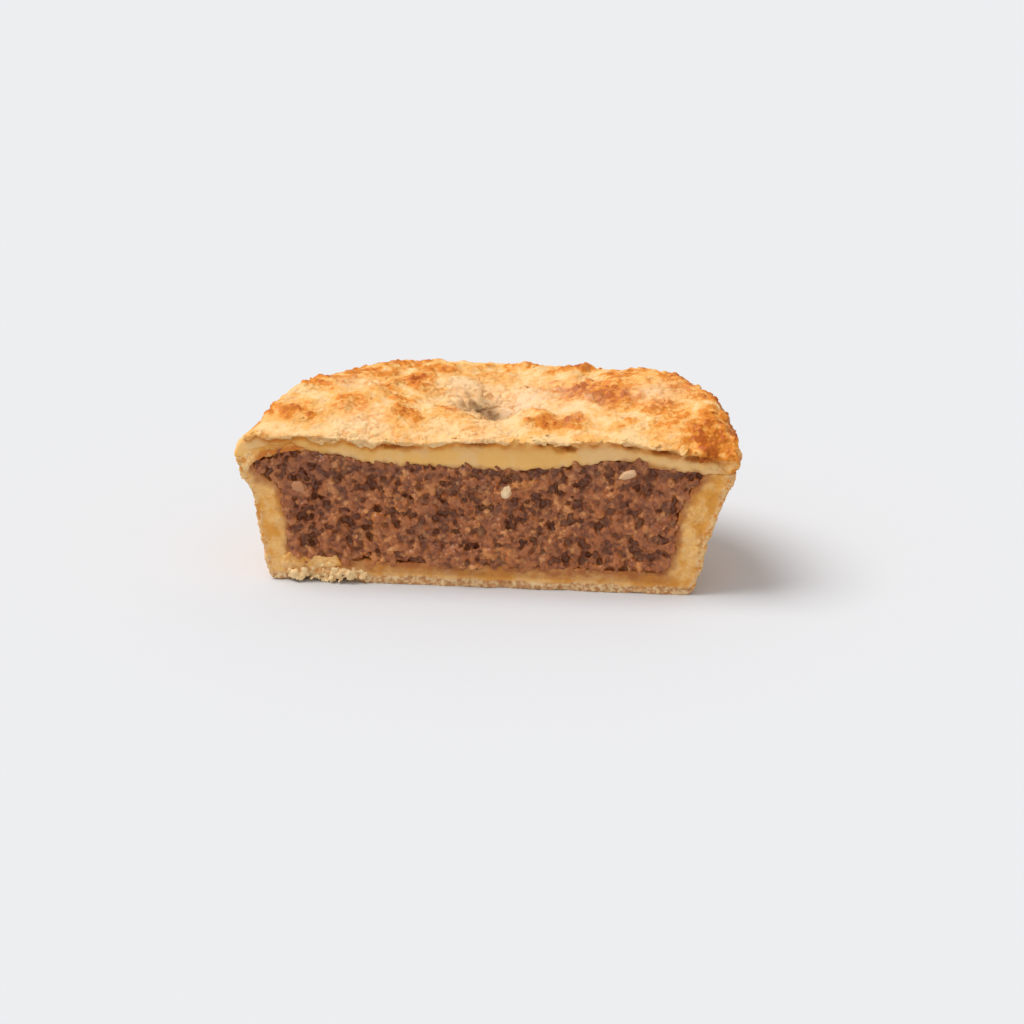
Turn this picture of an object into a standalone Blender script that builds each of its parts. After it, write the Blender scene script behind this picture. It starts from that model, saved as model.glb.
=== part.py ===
"""Half of a round minced-meat pie, standing on its base with the cut face towards -Y.

Three solids fit into each other: a pastry case, the meat filling that it holds, and a pastry lid with a
steam vent. Each is a block over the same half disc, so one mesh builder makes all three, and a short
function for each gives its form. Lengths are in metres, heights from the base, +Z up.
"""

import math
import random

import bmesh
import bpy
from mathutils import Vector, noise

MM = 0.001

# The driving sizes of the pie.
LIP_RADIUS = 65.3 * MM
WALL_FOOT_RADIUS = 55.7 * MM
WALL_HEAD_RADIUS = 61.4 * MM
WALL_HEAD_HEIGHT = 26.0 * MM
SEAM_HEIGHT = 33.3 * MM
CROWN_HEIGHT = 42.6 * MM
LID_EDGE_HEIGHT = 41.0 * MM

# The case: its base, wall and the flange that the lid is sealed to.
FLOOR_THICKNESS = 6.0 * MM
FOOT_ROUNDING = 2.2 * MM
FOOT_SHIFT = 1.5 * MM
FOOT_SHIFT_REACH = 11.0 * MM
FLANGE_WIDTH = 3.0 * MM
FLANGE_RISE = 5.0 * MM
FLANGE_LEAN = 1.6 * MM
CAVITY_FOOT_RADIUS = 47.9 * MM
CAVITY_SLOPE = 0.16
CAVITY_FILLET = 3.0 * MM
CAVITY_FLARE = 5.0 * MM
CAVITY_FLARE_START = 21.0 * MM
LEDGE_START = 25.5 * MM
LEDGE_RISE = 4.0 * MM
LEDGE_DEPTH = 2.8 * MM
WALL_UNEVENNESS = 1.6 * MM
WALL_BULGE = 1.5 * MM

# The lid's underside, as its rise above the seam by tenths of the radius from the middle to the rim:
# one row towards the left end of the cut and one towards its right end.
ROOF_LEFT = [rise * MM for rise in (-0.6, -0.6, -0.5, -0.3, -0.1, 0.3, 1.5, 2.8, 2.9, 0.0, 0.0)]
ROOF_RIGHT = [rise * MM for rise in (-0.6, -0.4, 0.0, 0.6, 1.3, 2.7, 3.2, 1.4, 0.5, 0.0, 0.0)]

# The lid: its rolled lip, its crown and the vent.
LIP_ROLL = 1.9 * MM
LIP_MIDDLE = 0.38
LIP_LEAN = 0.3
SHOULDER_START = 0.91
EDGE_LEAN = 1.0 * MM
CUT_ROLL_REACH = 4.5 * MM
CORNER_SWELL = 1.6 * MM
VENT_CENTRE = Vector((-0.5 * MM, 22.5 * MM))
VENT_DEPTH = 4.4 * MM
VENT_HALF_WIDTH = 13.0 * MM
VENT_FRONT_REACH = 5.5 * MM
VENT_BACK_REACH = 13.0 * MM
VENT_WELL_CENTRE = Vector((-0.5 * MM, 26.0 * MM))
VENT_WELL_DEPTH = 4.6 * MM
VENT_WELL_RADIUS = 8.0 * MM
VENT_PRESS = 2.6 * MM
VENT_PRESS_RADIUS = 12.0 * MM

# How much higher the crown is near the rim than in the middle, by eighths of a half-turn from the
# right end of the cut to its left end.
RIM_CROWN = [rise * MM for rise in (1.4, 3.8, 4.4, 0.5, -0.9, 1.7, 2.4, 3.6, 0.3)]

# Height of the skin's torn edge at the cut, by eighths of the cut from its left end to its right end.
SKIN_EDGE = [height * MM for height in (39.6, 39.9, 38.8, 39.0, 40.5, 40.2, 41.0, 39.2, 36.6)]
SKIN_THICKNESS = 0.9 * MM
SKIN_SHARE = 0.87
SKIN_OVERHANG = 0.9 * MM
SKIN_SHADOW = 0.8 * MM
BLISTER_COUNT = 90
BLISTER_SEED = 11
PUFFS = (
    (Vector((-9.5 * MM, 13.5 * MM)), 10.0 * MM, 1.6 * MM),
    (Vector((11.0 * MM, 9.5 * MM)), 9.0 * MM, 1.8 * MM),
    (Vector((4.0 * MM, 59.0 * MM)), 3.4 * MM, 1.5 * MM),
)

# The filling: bumps of the size of its minced pieces, and two pale pieces of onion.
GRANULE_SIZE = 2.9 * MM
GRANULE_DEPTH = 1.9 * MM
CLUMP_SIZE = 8.0 * MM
CLUMP_DEPTH = 0.6 * MM
MEAT_SET_BACK = 0.5 * MM
PITS = (
    (Vector((-11.5 * MM, 19.4 * MM)), 2.2 * MM),
    (Vector((-2.0 * MM, 15.6 * MM)), 1.8 * MM),
    (Vector((25.2 * MM, 10.4 * MM)), 2.6 * MM),
    (Vector((-54.0 * MM, 17.2 * MM)), 1.6 * MM),
)
PIT_DEPTH = 1.6 * MM
ONION_PIECES = (
    (Vector((5.3 * MM, 27.2 * MM)), 1.9 * MM),
    (Vector((36.5 * MM, 33.4 * MM)), 2.2 * MM),
)
ONION_PROUD = 0.9 * MM

# The broken corner at the left foot of the cut face.
CHIP_CENTRE_X = -42.5 * MM
CHIP_HALF_WIDTH = 10.0 * MM
CHIP_HEIGHT = 2.0 * MM
CHIP_DEPTH = 2.4 * MM
CRUMB_LUMP = 1.4 * MM
CRUMB_SIZE = 3.4 * MM

# Clearances between solids that touch.
WALL_GAP = 0.4 * MM
SEAM_GAP = 0.3 * MM
ROOF_GAP = 0.5 * MM

# How finely each block is divided: rings from the middle of the cut outwards, and rows in height.
CASE_FLOOR_RINGS = 4
CASE_WALL_RINGS = 10
CASE_ROWS = 2
LID_RINGS = 12
LID_ROWS = 4
FILLING_RINGS = 9
FILLING_ROWS = 6

UNDER, TOP, CUT, EDGE = range(4)


def smooth(share):
    """A ramp from 0 to 1 with level ends, for a share that may lie outside them."""
    share = min(max(share, 0.0), 1.0)
    return share * share * (3 - 2 * share)


def eased(heights, share):
    """The height at a share of the way along a row of heights, eased from each to the next."""
    along = min(max(share, 0.0), 0.9999) * (len(heights) - 1)
    low = int(along)
    return heights[low] + (heights[low + 1] - heights[low]) * smooth(along - low)


def ripple(point, size, seed):
    """Smooth unevenness from -1 to 1 whose waves are about size wide."""
    return noise.noise(point / size + Vector((seed, 0.37 * seed, 0.71 * seed)))


def polar(radius, angle, height):
    return Vector((radius * math.cos(angle), radius * math.sin(angle), height))


def half_disc(u, v):
    """(share of the radius, angle) of a place on a 2 by 1 rectangle wrapped to half a disc.

    The rectangle's nested U shapes become half rings, so no ring shrinks to a pole. Angle 0 is the
    right end of the cut, and half a turn is its left end.
    """
    ring = max(abs(u), v)
    if ring == 0:
        return 0.0, 0.0
    if v >= abs(u):
        eighths = 2 - u / ring
    elif u > 0:
        eighths = v / ring
    else:
        eighths = 4 - v / ring
    return ring, eighths * math.pi / 4


def lip_radius(angle):
    """The pie's outer edge, a little square in plan and wavy from the fingers that sealed it."""
    swell = CORNER_SWELL * math.sin(2 * angle) ** 2
    wave = 0.9 * MM * ripple(polar(LIP_RADIUS, angle, 0), 11 * MM, 3)
    return LIP_RADIUS + swell + wave - 0.4 * MM * math.cos(angle)


def outer_radius(angle, height):
    """The outside of the case: a leaning wall that bulges to the left, a rounded foot, and a flange."""
    lean = (WALL_HEAD_RADIUS - WALL_FOOT_RADIUS) / WALL_HEAD_HEIGHT
    radius = WALL_FOOT_RADIUS + lean * height
    if height < FOOT_ROUNDING:
        rise = FOOT_ROUNDING - height
        radius -= FOOT_ROUNDING - math.sqrt(FOOT_ROUNDING**2 - rise**2)
    belly = WALL_BULGE * math.sin(math.pi * min(1.0, height / WALL_HEAD_HEIGHT))
    foot = FOOT_SHIFT * smooth(1 - height / FOOT_SHIFT_REACH)
    radius -= (belly + foot) * math.cos(angle)
    flange_foot = WALL_HEAD_HEIGHT - 1 * MM + FLANGE_LEAN * math.cos(angle)
    flange = smooth((height - flange_foot) / FLANGE_RISE)
    radius += flange * (lip_radius(angle) - LIP_RADIUS + FLANGE_WIDTH - 1.5 * MM)
    return radius + 0.35 * MM * ripple(polar(radius, angle, height), 7 * MM, 5)


def cavity_radius(angle, height):
    """The inside of the case: a fillet at the floor, a lean, a ledge at the left, and a flare at the top."""
    radius = CAVITY_FOOT_RADIUS + CAVITY_SLOPE * height - WALL_UNEVENNESS * math.cos(angle)
    radius += LEDGE_DEPTH * smooth((height - LEDGE_START) / LEDGE_RISE) * smooth(-math.cos(angle))
    above_floor = height - FLOOR_THICKNESS
    if above_floor < CAVITY_FILLET:
        radius -= CAVITY_FILLET * (1 - above_floor / CAVITY_FILLET) ** 2
    if height > CAVITY_FLARE_START:
        reach = SEAM_HEIGHT - CAVITY_FLARE_START
        radius += CAVITY_FLARE * ((height - CAVITY_FLARE_START) / reach) ** 2
    return radius


def roof_height(share, angle):
    """The lid's underside: flat on the flange, arched over the filling, and pressed down at the vent."""
    to_left = (1 - math.cos(angle)) / 2
    rise = to_left * eased(ROOF_LEFT, share) + (1 - to_left) * eased(ROOF_RIGHT, share)
    place = Vector((math.cos(angle), math.sin(angle))) * share * LIP_RADIUS
    away = min(1.0, (place - VENT_WELL_CENTRE).length / VENT_PRESS_RADIUS)
    return SEAM_HEIGHT + rise - VENT_PRESS * (1 - away**2) ** 2


def blisters():
    """(place, radius, height) of the lid's raised patches: the puffs, and others drawn by a fixed seed."""
    draw = random.Random(BLISTER_SEED)
    made = list(PUFFS)
    for _ in range(BLISTER_COUNT):
        radius = LIP_RADIUS * 0.93 * math.sqrt(draw.random())
        angle = math.pi * draw.random()
        place = Vector((radius * math.cos(angle), radius * math.sin(angle)))
        made.append((place, draw.uniform(2.2, 5.5) * MM, draw.uniform(0.3, 1.1) * MM))
    return made


def vent_depth(place):
    """How far the steam vent sinks below the crown: a bowl, steep in front, with a well behind it."""
    across = (place.x - VENT_CENTRE.x) / VENT_HALF_WIDTH
    behind = place.y - VENT_CENTRE.y
    along = behind / (VENT_BACK_REACH if behind > 0 else VENT_FRONT_REACH)
    bowl = VENT_DEPTH * math.exp(-(across**2) - along**2)
    away = min(1.0, (place - VENT_WELL_CENTRE).length / VENT_WELL_RADIUS)
    return bowl + VENT_WELL_DEPTH * (1 - away**2) ** 2


def crown_height(place, share, angle, raised):
    """The lid's top surface above a place on the plan."""
    height = CROWN_HEIGHT + eased(RIM_CROWN, angle / math.pi) * smooth((share - 0.15) / 0.7)
    height -= vent_depth(place)
    point = Vector((place.x, place.y, 0))
    height += 0.9 * MM * ripple(point, 17 * MM, 7)
    height += 0.5 * MM * ripple(point, 5 * MM, 13)
    for centre, radius, rise in raised:
        away = (place - centre).length / radius
        if away < 1:
            height += rise * (1 - away**2) ** 2
    shoulder = max(0.0, (share - SHOULDER_START) / (1 - SHOULDER_START))
    drop = height - LID_EDGE_HEIGHT - EDGE_LEAN * math.cos(angle)
    height -= drop * (1 - math.sqrt(max(0.0, 1 - shoulder**2)))
    torn = eased(SKIN_EDGE, (place.x / LIP_RADIUS + 1) / 2) + SKIN_THICKNESS
    return height + (torn - height) * math.exp(-max(place.y, 0.0) / CUT_ROLL_REACH)


def lid_point(u, v, w, raised):
    """A point of the lid's surface: w is 0 on the underside and 1 on the crown."""
    share, angle = half_disc(u, v)
    lip_middle = LIP_MIDDLE + LIP_LEAN * math.cos(angle)
    edge = lip_radius(angle) - LIP_ROLL * ((w - lip_middle) / 0.6) ** 2
    point = polar(share * edge, angle, 0)
    top = crown_height(point.xy, share, angle, raised)
    under = roof_height(share, angle) + SEAM_GAP
    point.z = under + (top - under) * w
    if v == 0:
        point += cut_layers(point, u, w)
    return point


def cut_layers(point, u, w):
    """The lid's cut side: the flaky skin stands out over the smooth pastry below it."""
    ends = smooth((1 - abs(u)) / 0.12)
    ragged = 0.12 * ripple(Vector((point.x, 0, 0)), 4 * MM, 17)
    skin = smooth((w - SKIN_SHARE - ragged) / 0.06)
    notch = math.exp(-(((w - SKIN_SHARE - ragged + 0.1) / 0.09) ** 2))
    curl = 0.4 * MM * ripple(Vector((point.x, 0, point.z)), 3 * MM, 19)
    return Vector((0, ends * (SKIN_SHADOW * notch - (SKIN_OVERHANG + curl) * skin), 0))


def case_point(u, v, w):
    """A point of the case's surface: w is 0 on the outside and 1 in the cavity."""
    share, angle = half_disc(u, v)
    floor_share = CASE_FLOOR_RINGS / (CASE_FLOOR_RINGS + CASE_WALL_RINGS)
    climb = max(0.0, (share - floor_share) / (1 - floor_share))
    climb = (1 - math.cos(math.pi * climb)) / 2
    spread = min(1.0, share / floor_share)
    outside_height = SEAM_HEIGHT * climb
    inside_height = FLOOR_THICKNESS + (SEAM_HEIGHT - FLOOR_THICKNESS) * climb
    outside = polar(spread * outer_radius(angle, outside_height), angle, outside_height)
    inside = polar(spread * cavity_radius(angle, inside_height), angle, inside_height)
    point = outside.lerp(inside, w)
    if v == 0:
        point.y += broken_corner(point)
    return point


def broken_corner(point):
    """How far the cut side of the case lies back, or with a minus sign stands out, where it broke."""
    near = smooth(3 * (1 - abs(point.x - CHIP_CENTRE_X) / CHIP_HALF_WIDTH))
    chip = CHIP_DEPTH * smooth(1 - point.z / CHIP_HEIGHT)
    flat = Vector((point.x, 0, point.z))
    nearest = noise.voronoi(flat / CRUMB_SIZE, distance_metric="DISTANCE")[0][0]
    band = math.exp(-(((point.z - 3 * MM) / (2 * MM)) ** 2))
    lump = CRUMB_LUMP * band * (1.1 - min(nearest, 1.0))
    grain = 0.3 * MM * ripple(flat, 3 * MM, 23)
    return near * (chip - lump) + grain


def filling_point(u, v, w):
    """A point of the filling's surface: w is 0 on the floor of the case and 1 under the lid."""
    share, angle = half_disc(u, v)
    low = FLOOR_THICKNESS + SEAM_GAP
    edge_height = low + (SEAM_HEIGHT - ROOF_GAP - low) * w
    radius = share * (cavity_radius(angle, edge_height) - WALL_GAP)
    point = polar(radius, angle, 0)
    roof = roof_height(radius / LIP_RADIUS, angle) - ROOF_GAP
    point.z = low + (roof - low) * w
    if v == 0:
        inside = min(1 - share, 0.3 * w, 0.3 * (1 - w)) / 0.03
        point.y -= minced_relief(point) * smooth(inside)
    return point


def minced_relief(point):
    """How far the cut meat stands out of the cut plane: rounded pieces on larger clumps."""
    flat = Vector((point.x, 0, point.z))
    nearest = noise.voronoi(flat / GRANULE_SIZE, distance_metric="DISTANCE")[0][0]
    piece = GRANULE_DEPTH * (0.45 - min(nearest, 1.0) ** 2)
    clump = CLUMP_DEPTH * ripple(flat, CLUMP_SIZE, 29) - MEAT_SET_BACK
    for centre, radius in PITS:
        away = (Vector((point.x, point.z)) - centre).length / radius
        clump -= PIT_DEPTH * math.exp(-(away**2))
    for centre, radius in ONION_PIECES:
        away = (Vector((point.x, point.z)) - centre).length / radius
        if away < 1:
            piece = max(piece, ONION_PROUD * (1 - away**2) + MEAT_SET_BACK)
    return piece + clump


def block(name, place, rings, rows, refined, cuts, material):
    """One closed solid over the half disc, as an object of that name.

    place(u, v, w) gives its surface. The sides in refined are divided again by that many cuts, and
    every point is put in place after that, so that the extra ones follow the true form too.
    """
    bm = bmesh.new()
    side = bm.faces.layers.int.new("side")
    grid = bm.verts.layers.float_vector.new("grid")
    made = {}

    def corner(i, j, k):
        if (i, j, k) not in made:
            where = Vector((i / rings - 1, j / rings, k / rows))
            made[i, j, k] = bm.verts.new(where)
            made[i, j, k][grid] = where
        return made[i, j, k]

    def quad(tag, *corners):
        bm.faces.new([corner(*c) for c in corners])[side] = tag

    across = 2 * rings
    for i in range(across):
        for j in range(rings):
            quad(UNDER, (i, j, 0), (i, j + 1, 0), (i + 1, j + 1, 0), (i + 1, j, 0))
            quad(TOP, (i, j, rows), (i + 1, j, rows), (i + 1, j + 1, rows), (i, j + 1, rows))
        for k in range(rows):
            quad(CUT, (i, 0, k), (i + 1, 0, k), (i + 1, 0, k + 1), (i, 0, k + 1))
            quad(EDGE, (i, rings, k), (i, rings, k + 1), (i + 1, rings, k + 1), (i + 1, rings, k))
    for j in range(rings):
        for k in range(rows):
            quad(EDGE, (0, j, k), (0, j, k + 1), (0, j + 1, k + 1), (0, j + 1, k))
            quad(EDGE, (across, j, k), (across, j + 1, k), (across, j + 1, k + 1), (across, j, k + 1))
    if refined:
        edges = {edge for face in bm.faces if face[side] in refined for edge in face.edges}
        bmesh.ops.subdivide_edges(bm, edges=list(edges), cuts=cuts, use_grid_fill=True)
    for vertex in bm.verts:
        vertex.co = place(*vertex[grid])
    bmesh.ops.triangulate(bm, faces=bm.faces[:], quad_method="SHORT_EDGE")
    bmesh.ops.recalc_face_normals(bm, faces=bm.faces[:])
    mesh = bpy.data.meshes.new(name)
    bm.to_mesh(mesh)
    bm.free()
    mesh.shade_smooth()
    mesh.set_sharp_from_angle(angle=math.radians(50))
    mesh.materials.append(material)
    made_object = bpy.data.objects.new(name, mesh)
    bpy.context.scene.collection.objects.link(made_object)
    return made_object


def material_of(name, colour, roughness):
    material = bpy.data.materials.new(name)
    material.use_nodes = True
    shader = material.node_tree.nodes["Principled BSDF"]
    shader.inputs["Base Color"].default_value = (*colour, 1)
    shader.inputs["Roughness"].default_value = roughness
    shader.inputs["Metallic"].default_value = 0
    return material


def pastry_case():
    pastry = material_of("pale_pastry", (0.76, 0.50, 0.22), 0.75)
    rings = CASE_FLOOR_RINGS + CASE_WALL_RINGS
    return block("pastry_case", case_point, rings, CASE_ROWS, (CUT,), 2, pastry)


def meat_filling():
    meat = material_of("minced_meat", (0.24, 0.09, 0.035), 0.5)
    return block("meat_filling", filling_point, FILLING_RINGS, FILLING_ROWS, (CUT,), 4, meat)


def pastry_lid():
    baked = material_of("baked_pastry", (0.85, 0.52, 0.20), 0.65)
    raised = blisters()

    def place(u, v, w):
        return lid_point(u, v, w, raised)

    return block("pastry_lid", place, LID_RINGS, LID_ROWS, (TOP, CUT), 1, baked)


def stand_on_middle(parts):
    """Moves the pie so that the origin lies under the middle of its box."""
    points = [vertex.co for part in parts for vertex in part.data.vertices]
    middle = Vector()
    for axis in (0, 1):
        values = [point[axis] for point in points]
        middle[axis] = (min(values) + max(values)) / 2
    holder = bpy.data.objects.new("half_pie", None)
    holder.location = -middle
    bpy.context.scene.collection.objects.link(holder)
    for part in parts:
        part.parent = holder


def main():
    for old in list(bpy.data.objects):
        bpy.data.objects.remove(old)
    stand_on_middle([pastry_case(), meat_filling(), pastry_lid()])


main()
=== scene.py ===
"""The looks of half a round minced-meat pie: its browned flaky lid, its pastry case and its filling.

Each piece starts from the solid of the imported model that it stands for, so it keeps that solid's form.
The copy is remeshed finely, masks are painted on its points from where they lie, Geometry Nodes add the
relief and scatter what is loose, and materials read the masks. Lengths are in metres, +Z up, and the cut
face looks along -Y.
"""

import math

import bmesh
import bpy
import numpy as np
from mathutils import Matrix, Vector, noise
from mathutils.bvhtree import BVHTree


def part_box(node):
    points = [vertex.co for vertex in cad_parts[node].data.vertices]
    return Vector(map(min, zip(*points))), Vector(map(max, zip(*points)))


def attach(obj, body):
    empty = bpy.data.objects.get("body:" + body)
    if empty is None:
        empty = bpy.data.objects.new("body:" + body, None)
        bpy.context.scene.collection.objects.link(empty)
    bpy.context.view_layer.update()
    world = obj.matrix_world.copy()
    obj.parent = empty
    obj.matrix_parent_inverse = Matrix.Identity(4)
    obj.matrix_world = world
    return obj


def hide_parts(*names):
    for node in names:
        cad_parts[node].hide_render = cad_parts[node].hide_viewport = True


bl_info = {
    "name": "Half Meat Pie",
    "version": (1, 0, 0),
    "blender": (4, 5, 0),
    "location": "3D View > Sidebar > Pie",
    "description": "Builds the lid, case, filling and crumbs of a cut minced-meat pie",
    "category": "Add Mesh",
}

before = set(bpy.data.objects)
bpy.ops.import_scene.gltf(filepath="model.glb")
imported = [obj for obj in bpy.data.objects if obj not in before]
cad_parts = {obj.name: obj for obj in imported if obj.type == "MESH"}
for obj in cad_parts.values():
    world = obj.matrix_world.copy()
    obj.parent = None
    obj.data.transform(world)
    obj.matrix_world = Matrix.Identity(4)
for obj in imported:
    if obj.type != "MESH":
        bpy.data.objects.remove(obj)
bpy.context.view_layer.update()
MM = 0.001

LID_NODE = "pastry_lid"
CASE_NODE = "pastry_case"
FILLING_NODE = "meat_filling"

# The cut plane and the middle of the round pie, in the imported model's frame.
CUT_Y = float(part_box(CASE_NODE)[0][1]) + 1.3 * MM
MIDDLE_X = 0.5 * MM
# Half the length of the cut at the lid, in millimetres.
HALF_CUT = 65.3
# How far the vent's middle lies behind the cut, and how far round it the lid keeps all its faces.
VENT_BEHIND = 26 * MM
VENT_REACH = 12 * MM
# How far behind the cut the slab of minced pieces reaches, and where the plain core behind it begins.
SLAB_DEPTH = 3.2 * MM
CORE_START = 2.9 * MM
# The bed of the crumbs at the left foot: its left end and its length, in millimetres, and its parts.
LEDGE_LEFT = -52.5
LEDGE_LENGTH = 20.5
LEDGE_STEPS = 30
# Sizes of the finest faces of the crumbs and of the torn pastry.
CRUMB_GRID = 0.18 * MM
TONGUE_GRID = 0.28 * MM
# The floor's half width in metres, the point that the camera looks at, and the light's direction and tints.
FLOOR_HALF_WIDTH = 6.0
AIM = Vector((MIDDLE_X + 5.8 * MM, CUT_Y + 7.5 * MM, 18.4 * MM))
TOWARDS_KEY = (-0.47, -0.04, 0.88)
KEY_SPREAD = math.radians(36)
KEY_TINT = (1.0, 0.985, 0.95)
ROOM_TINT = (1.0, 0.965, 0.925)
# About a full turn, in radians.
FULL_TURN = 6.283

# Browned places of the lid: across and behind the middle of the cut, radius, strength. In millimetres.
BROWNED_SPOTS = (
    (-47.0, 30.0, 8.0, 0.85),
    (-37.0, 43.0, 9.0, 0.95),
    (-25.0, 51.0, 9.0, 0.85),
    (-22.0, 36.0, 6.5, 0.95),
    (-30.0, 26.0, 5.0, 0.85),
    (-24.0, 21.0, 4.5, 0.85),
    (-37.0, 15.0, 5.5, 0.72),
    (-51.0, 8.0, 5.5, 0.7),
    (-60.0, 12.0, 6.0, 0.8),
    (-44.0, 22.0, 4.0, 0.6),
    (-22.0, 12.0, 5.5, 0.72),
    (-12.0, 16.0, 5.5, 0.66),
    (-7.0, 12.5, 5.0, 0.45),
    (-45.0, 38.0, 4.5, 0.7),
    (-17.0, 47.0, 4.5, 0.6),
    (-3.0, 57.0, 10.0, 0.6),
    (5.0, 59.0, 3.5, 0.95),
    (18.0, 55.0, 8.0, 0.7),
    (22.0, 33.0, 8.0, 1.3),
    (30.0, 26.0, 8.0, 1.3),
    (14.0, 38.0, 4.5, 0.8),
    (33.0, 45.0, 7.0, 0.9),
    (14.0, 8.5, 5.5, 0.85),
    (22.0, 10.0, 4.0, 0.85),
    (40.0, 52.0, 7.0, 0.7),
    (49.0, 38.0, 9.0, 0.9),
    (44.0, 17.0, 5.0, 0.75),
    (58.0, 26.0, 8.0, 0.85),
    (62.0, 10.0, 7.0, 1.1),
    (61.0, 20.0, 4.0, 0.8),
    (57.0, 3.0, 7.0, 1.15),
    (47.0, 11.0, 5.0, 0.8),
    (36.0, 8.0, 2.5, 0.8),
)
# Dry pale places of the lid, and the painted shade in the depth of the steam vent, listed in the same way.
FLOURY_SPOTS = (
    (6.0, 30.0, 12.0, 1.0),
    (-2.0, 24.0, 9.0, 0.9),
    (-9.0, 36.0, 7.0, 0.8),
    (21.0, 19.0, 7.0, 0.7),
    (-38.0, 30.0, 5.0, 0.6),
    (42.0, 26.0, 7.0, 0.7),
    (-33.0, 6.0, 6.0, 0.5),
    (0.0, 6.0, 7.0, 0.4),
)
VENT = (
    (-3.0, 26.0, 3.2, 0.9),
    (0.2, 26.5, 3.0, 1.0),
    (-5.5, 29.5, 2.6, 0.7),
    (-2.0, 30.0, 2.4, 0.75),
    (-4.5, 33.0, 1.6, 0.5),
    (-8.5, 25.5, 2.4, 0.45),
    (-1.5, 21.5, 4.6, 1.2),
    (2.6, 24.0, 2.8, 1.2),
    (5.0, 23.0, 1.8, 0.7),
)
# Hollows and bumps of the lid round the vent and its front ridge: across, behind, radius, height.
VENT_FORMS = (
    (-7.0, 14.5, 6.5, -1.6),
    (-2.0, 14.5, 6.5, -1.7),
    (3.0, 14.0, 6.5, -1.4),
    (-2.5, 26.5, 4.4, -1.2),
    (1.5, 25.5, 3.6, -0.9),
    (-13.0, 25.0, 2.1, 0.8),
    (-10.5, 27.5, 2.0, 1.0),
    (-7.8, 30.2, 1.8, 1.0),
    (-12.5, 29.8, 2.2, 0.8),
    (-9.5, 33.0, 2.1, 0.9),
    (-6.5, 36.4, 2.0, 0.7),
    (-12.5, 34.5, 2.4, 0.7),
    (-8.6, 24.4, 1.7, 0.9),
    (-3.4, 36.0, 1.8, 0.6),
    (-15.5, 38.5, 2.4, 0.7),
    (7.5, 12.5, 4.4, 0.5),
    (14.0, 11.5, 4.0, 0.8),
)
# Height of the skin's torn edge at the cut, by eighths of the cut from its left end to its right end.
SKIN_EDGE = (39.6, 39.9, 38.8, 39.0, 40.5, 40.2, 41.0, 39.2, 36.6)
# Gaps between the skin and the layer below it: across, height, half width, half height, depth.
SKIN_GAPS = (
    (15.3, 40.2, 2.6, 0.8, 1.6),
    (20.6, 39.2, 3.4, 0.9, 1.9),
    (37.4, 40.1, 2.8, 0.7, 1.5),
    (46.0, 38.9, 4.2, 0.9, 2.0),
    (53.4, 37.6, 3.0, 0.8, 1.7),
    (-2.0, 39.5, 5.0, 0.7, 1.2),
    (-24.0, 38.0, 6.0, 0.6, 1.1),
)
# Brown stains of the cut crust, and amber where it baked dark: across, height, radius, strength.
STAINED_SPOTS = (
    (-57.5, 30.5, 3.0, 0.9),
    (-54.0, 28.5, 2.5, 0.9),
    (-51.0, 24.0, 2.0, 0.7),
    (52.0, 30.0, 2.5, 0.6),
    (-49.0, 18.0, 1.6, 0.5),
)
AMBER_SPOTS = ((-54.0, 34.5, 3.0, 1.0), (-50.5, 35.5, 2.2, 0.8), (-57.5, 33.0, 2.0, 0.8))
# Outlines of torn pastry that stands out from the cut, as across and height: the tongue over the crumb at
# the left foot, and the corner where the lid folds over the filling's left end.
FLAP_OUTLINE = (
    (-54.0, 3.4),
    (-47.0, 3.2),
    (-41.5, 3.9),
    (-38.2, 4.9),
    (-39.6, 7.6),
    (-42.0, 6.9),
    (-45.5, 7.4),
    (-49.0, 7.0),
    (-51.5, 8.2),
    (-54.5, 6.6),
)
CORNER_OUTLINE = (
    (-64.3, 31.0),
    (-62.6, 29.2),
    (-62.0, 31.6),
    (-60.6, 33.0),
    (-58.4, 34.2),
    (-56.0, 35.0),
    (-53.0, 35.6),
    (-49.5, 36.2),
    (-47.0, 36.9),
    (-50.0, 38.0),
    (-57.0, 37.4),
    (-62.5, 35.6),
    (-64.5, 33.5),
)
# The stretch of that outline which rims the filling.
CORNER_RIM = CORNER_OUTLINE[1:9]
# Pale pieces in the cut meat: across, height, half width, height and depth, lean, and how meaty they look.
ONION_PIECES = (
    (5.3, 27.2, 1.25, 1.7, 0.9, 0.25, 0.0),
    (36.5, 33.2, 2.3, 1.0, 0.8, -0.35, 0.35),
    (-49.2, 26.2, 1.9, 1.6, 0.9, 0.3, 0.8),
)


# Properties: the sizes and colours that a user would change.


def length_property(name, description, default):
    return bpy.props.FloatProperty(
        name=name, description=description, default=default, min=0.0, unit="LENGTH", precision=5
    )


def colour_property(name, description, red, green, blue):
    """A colour property whose default is given as 0 to 255 screen values."""
    linear = [screen_to_linear(value) for value in (red, green, blue)]
    return bpy.props.FloatVectorProperty(
        name=name, description=description, default=linear, size=3, min=0.0, max=1.0, subtype="COLOR"
    )


def screen_to_linear(value):
    share = value / 255
    return share / 12.92 if share <= 0.04045 else ((share + 0.055) / 1.055) ** 2.4


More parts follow.
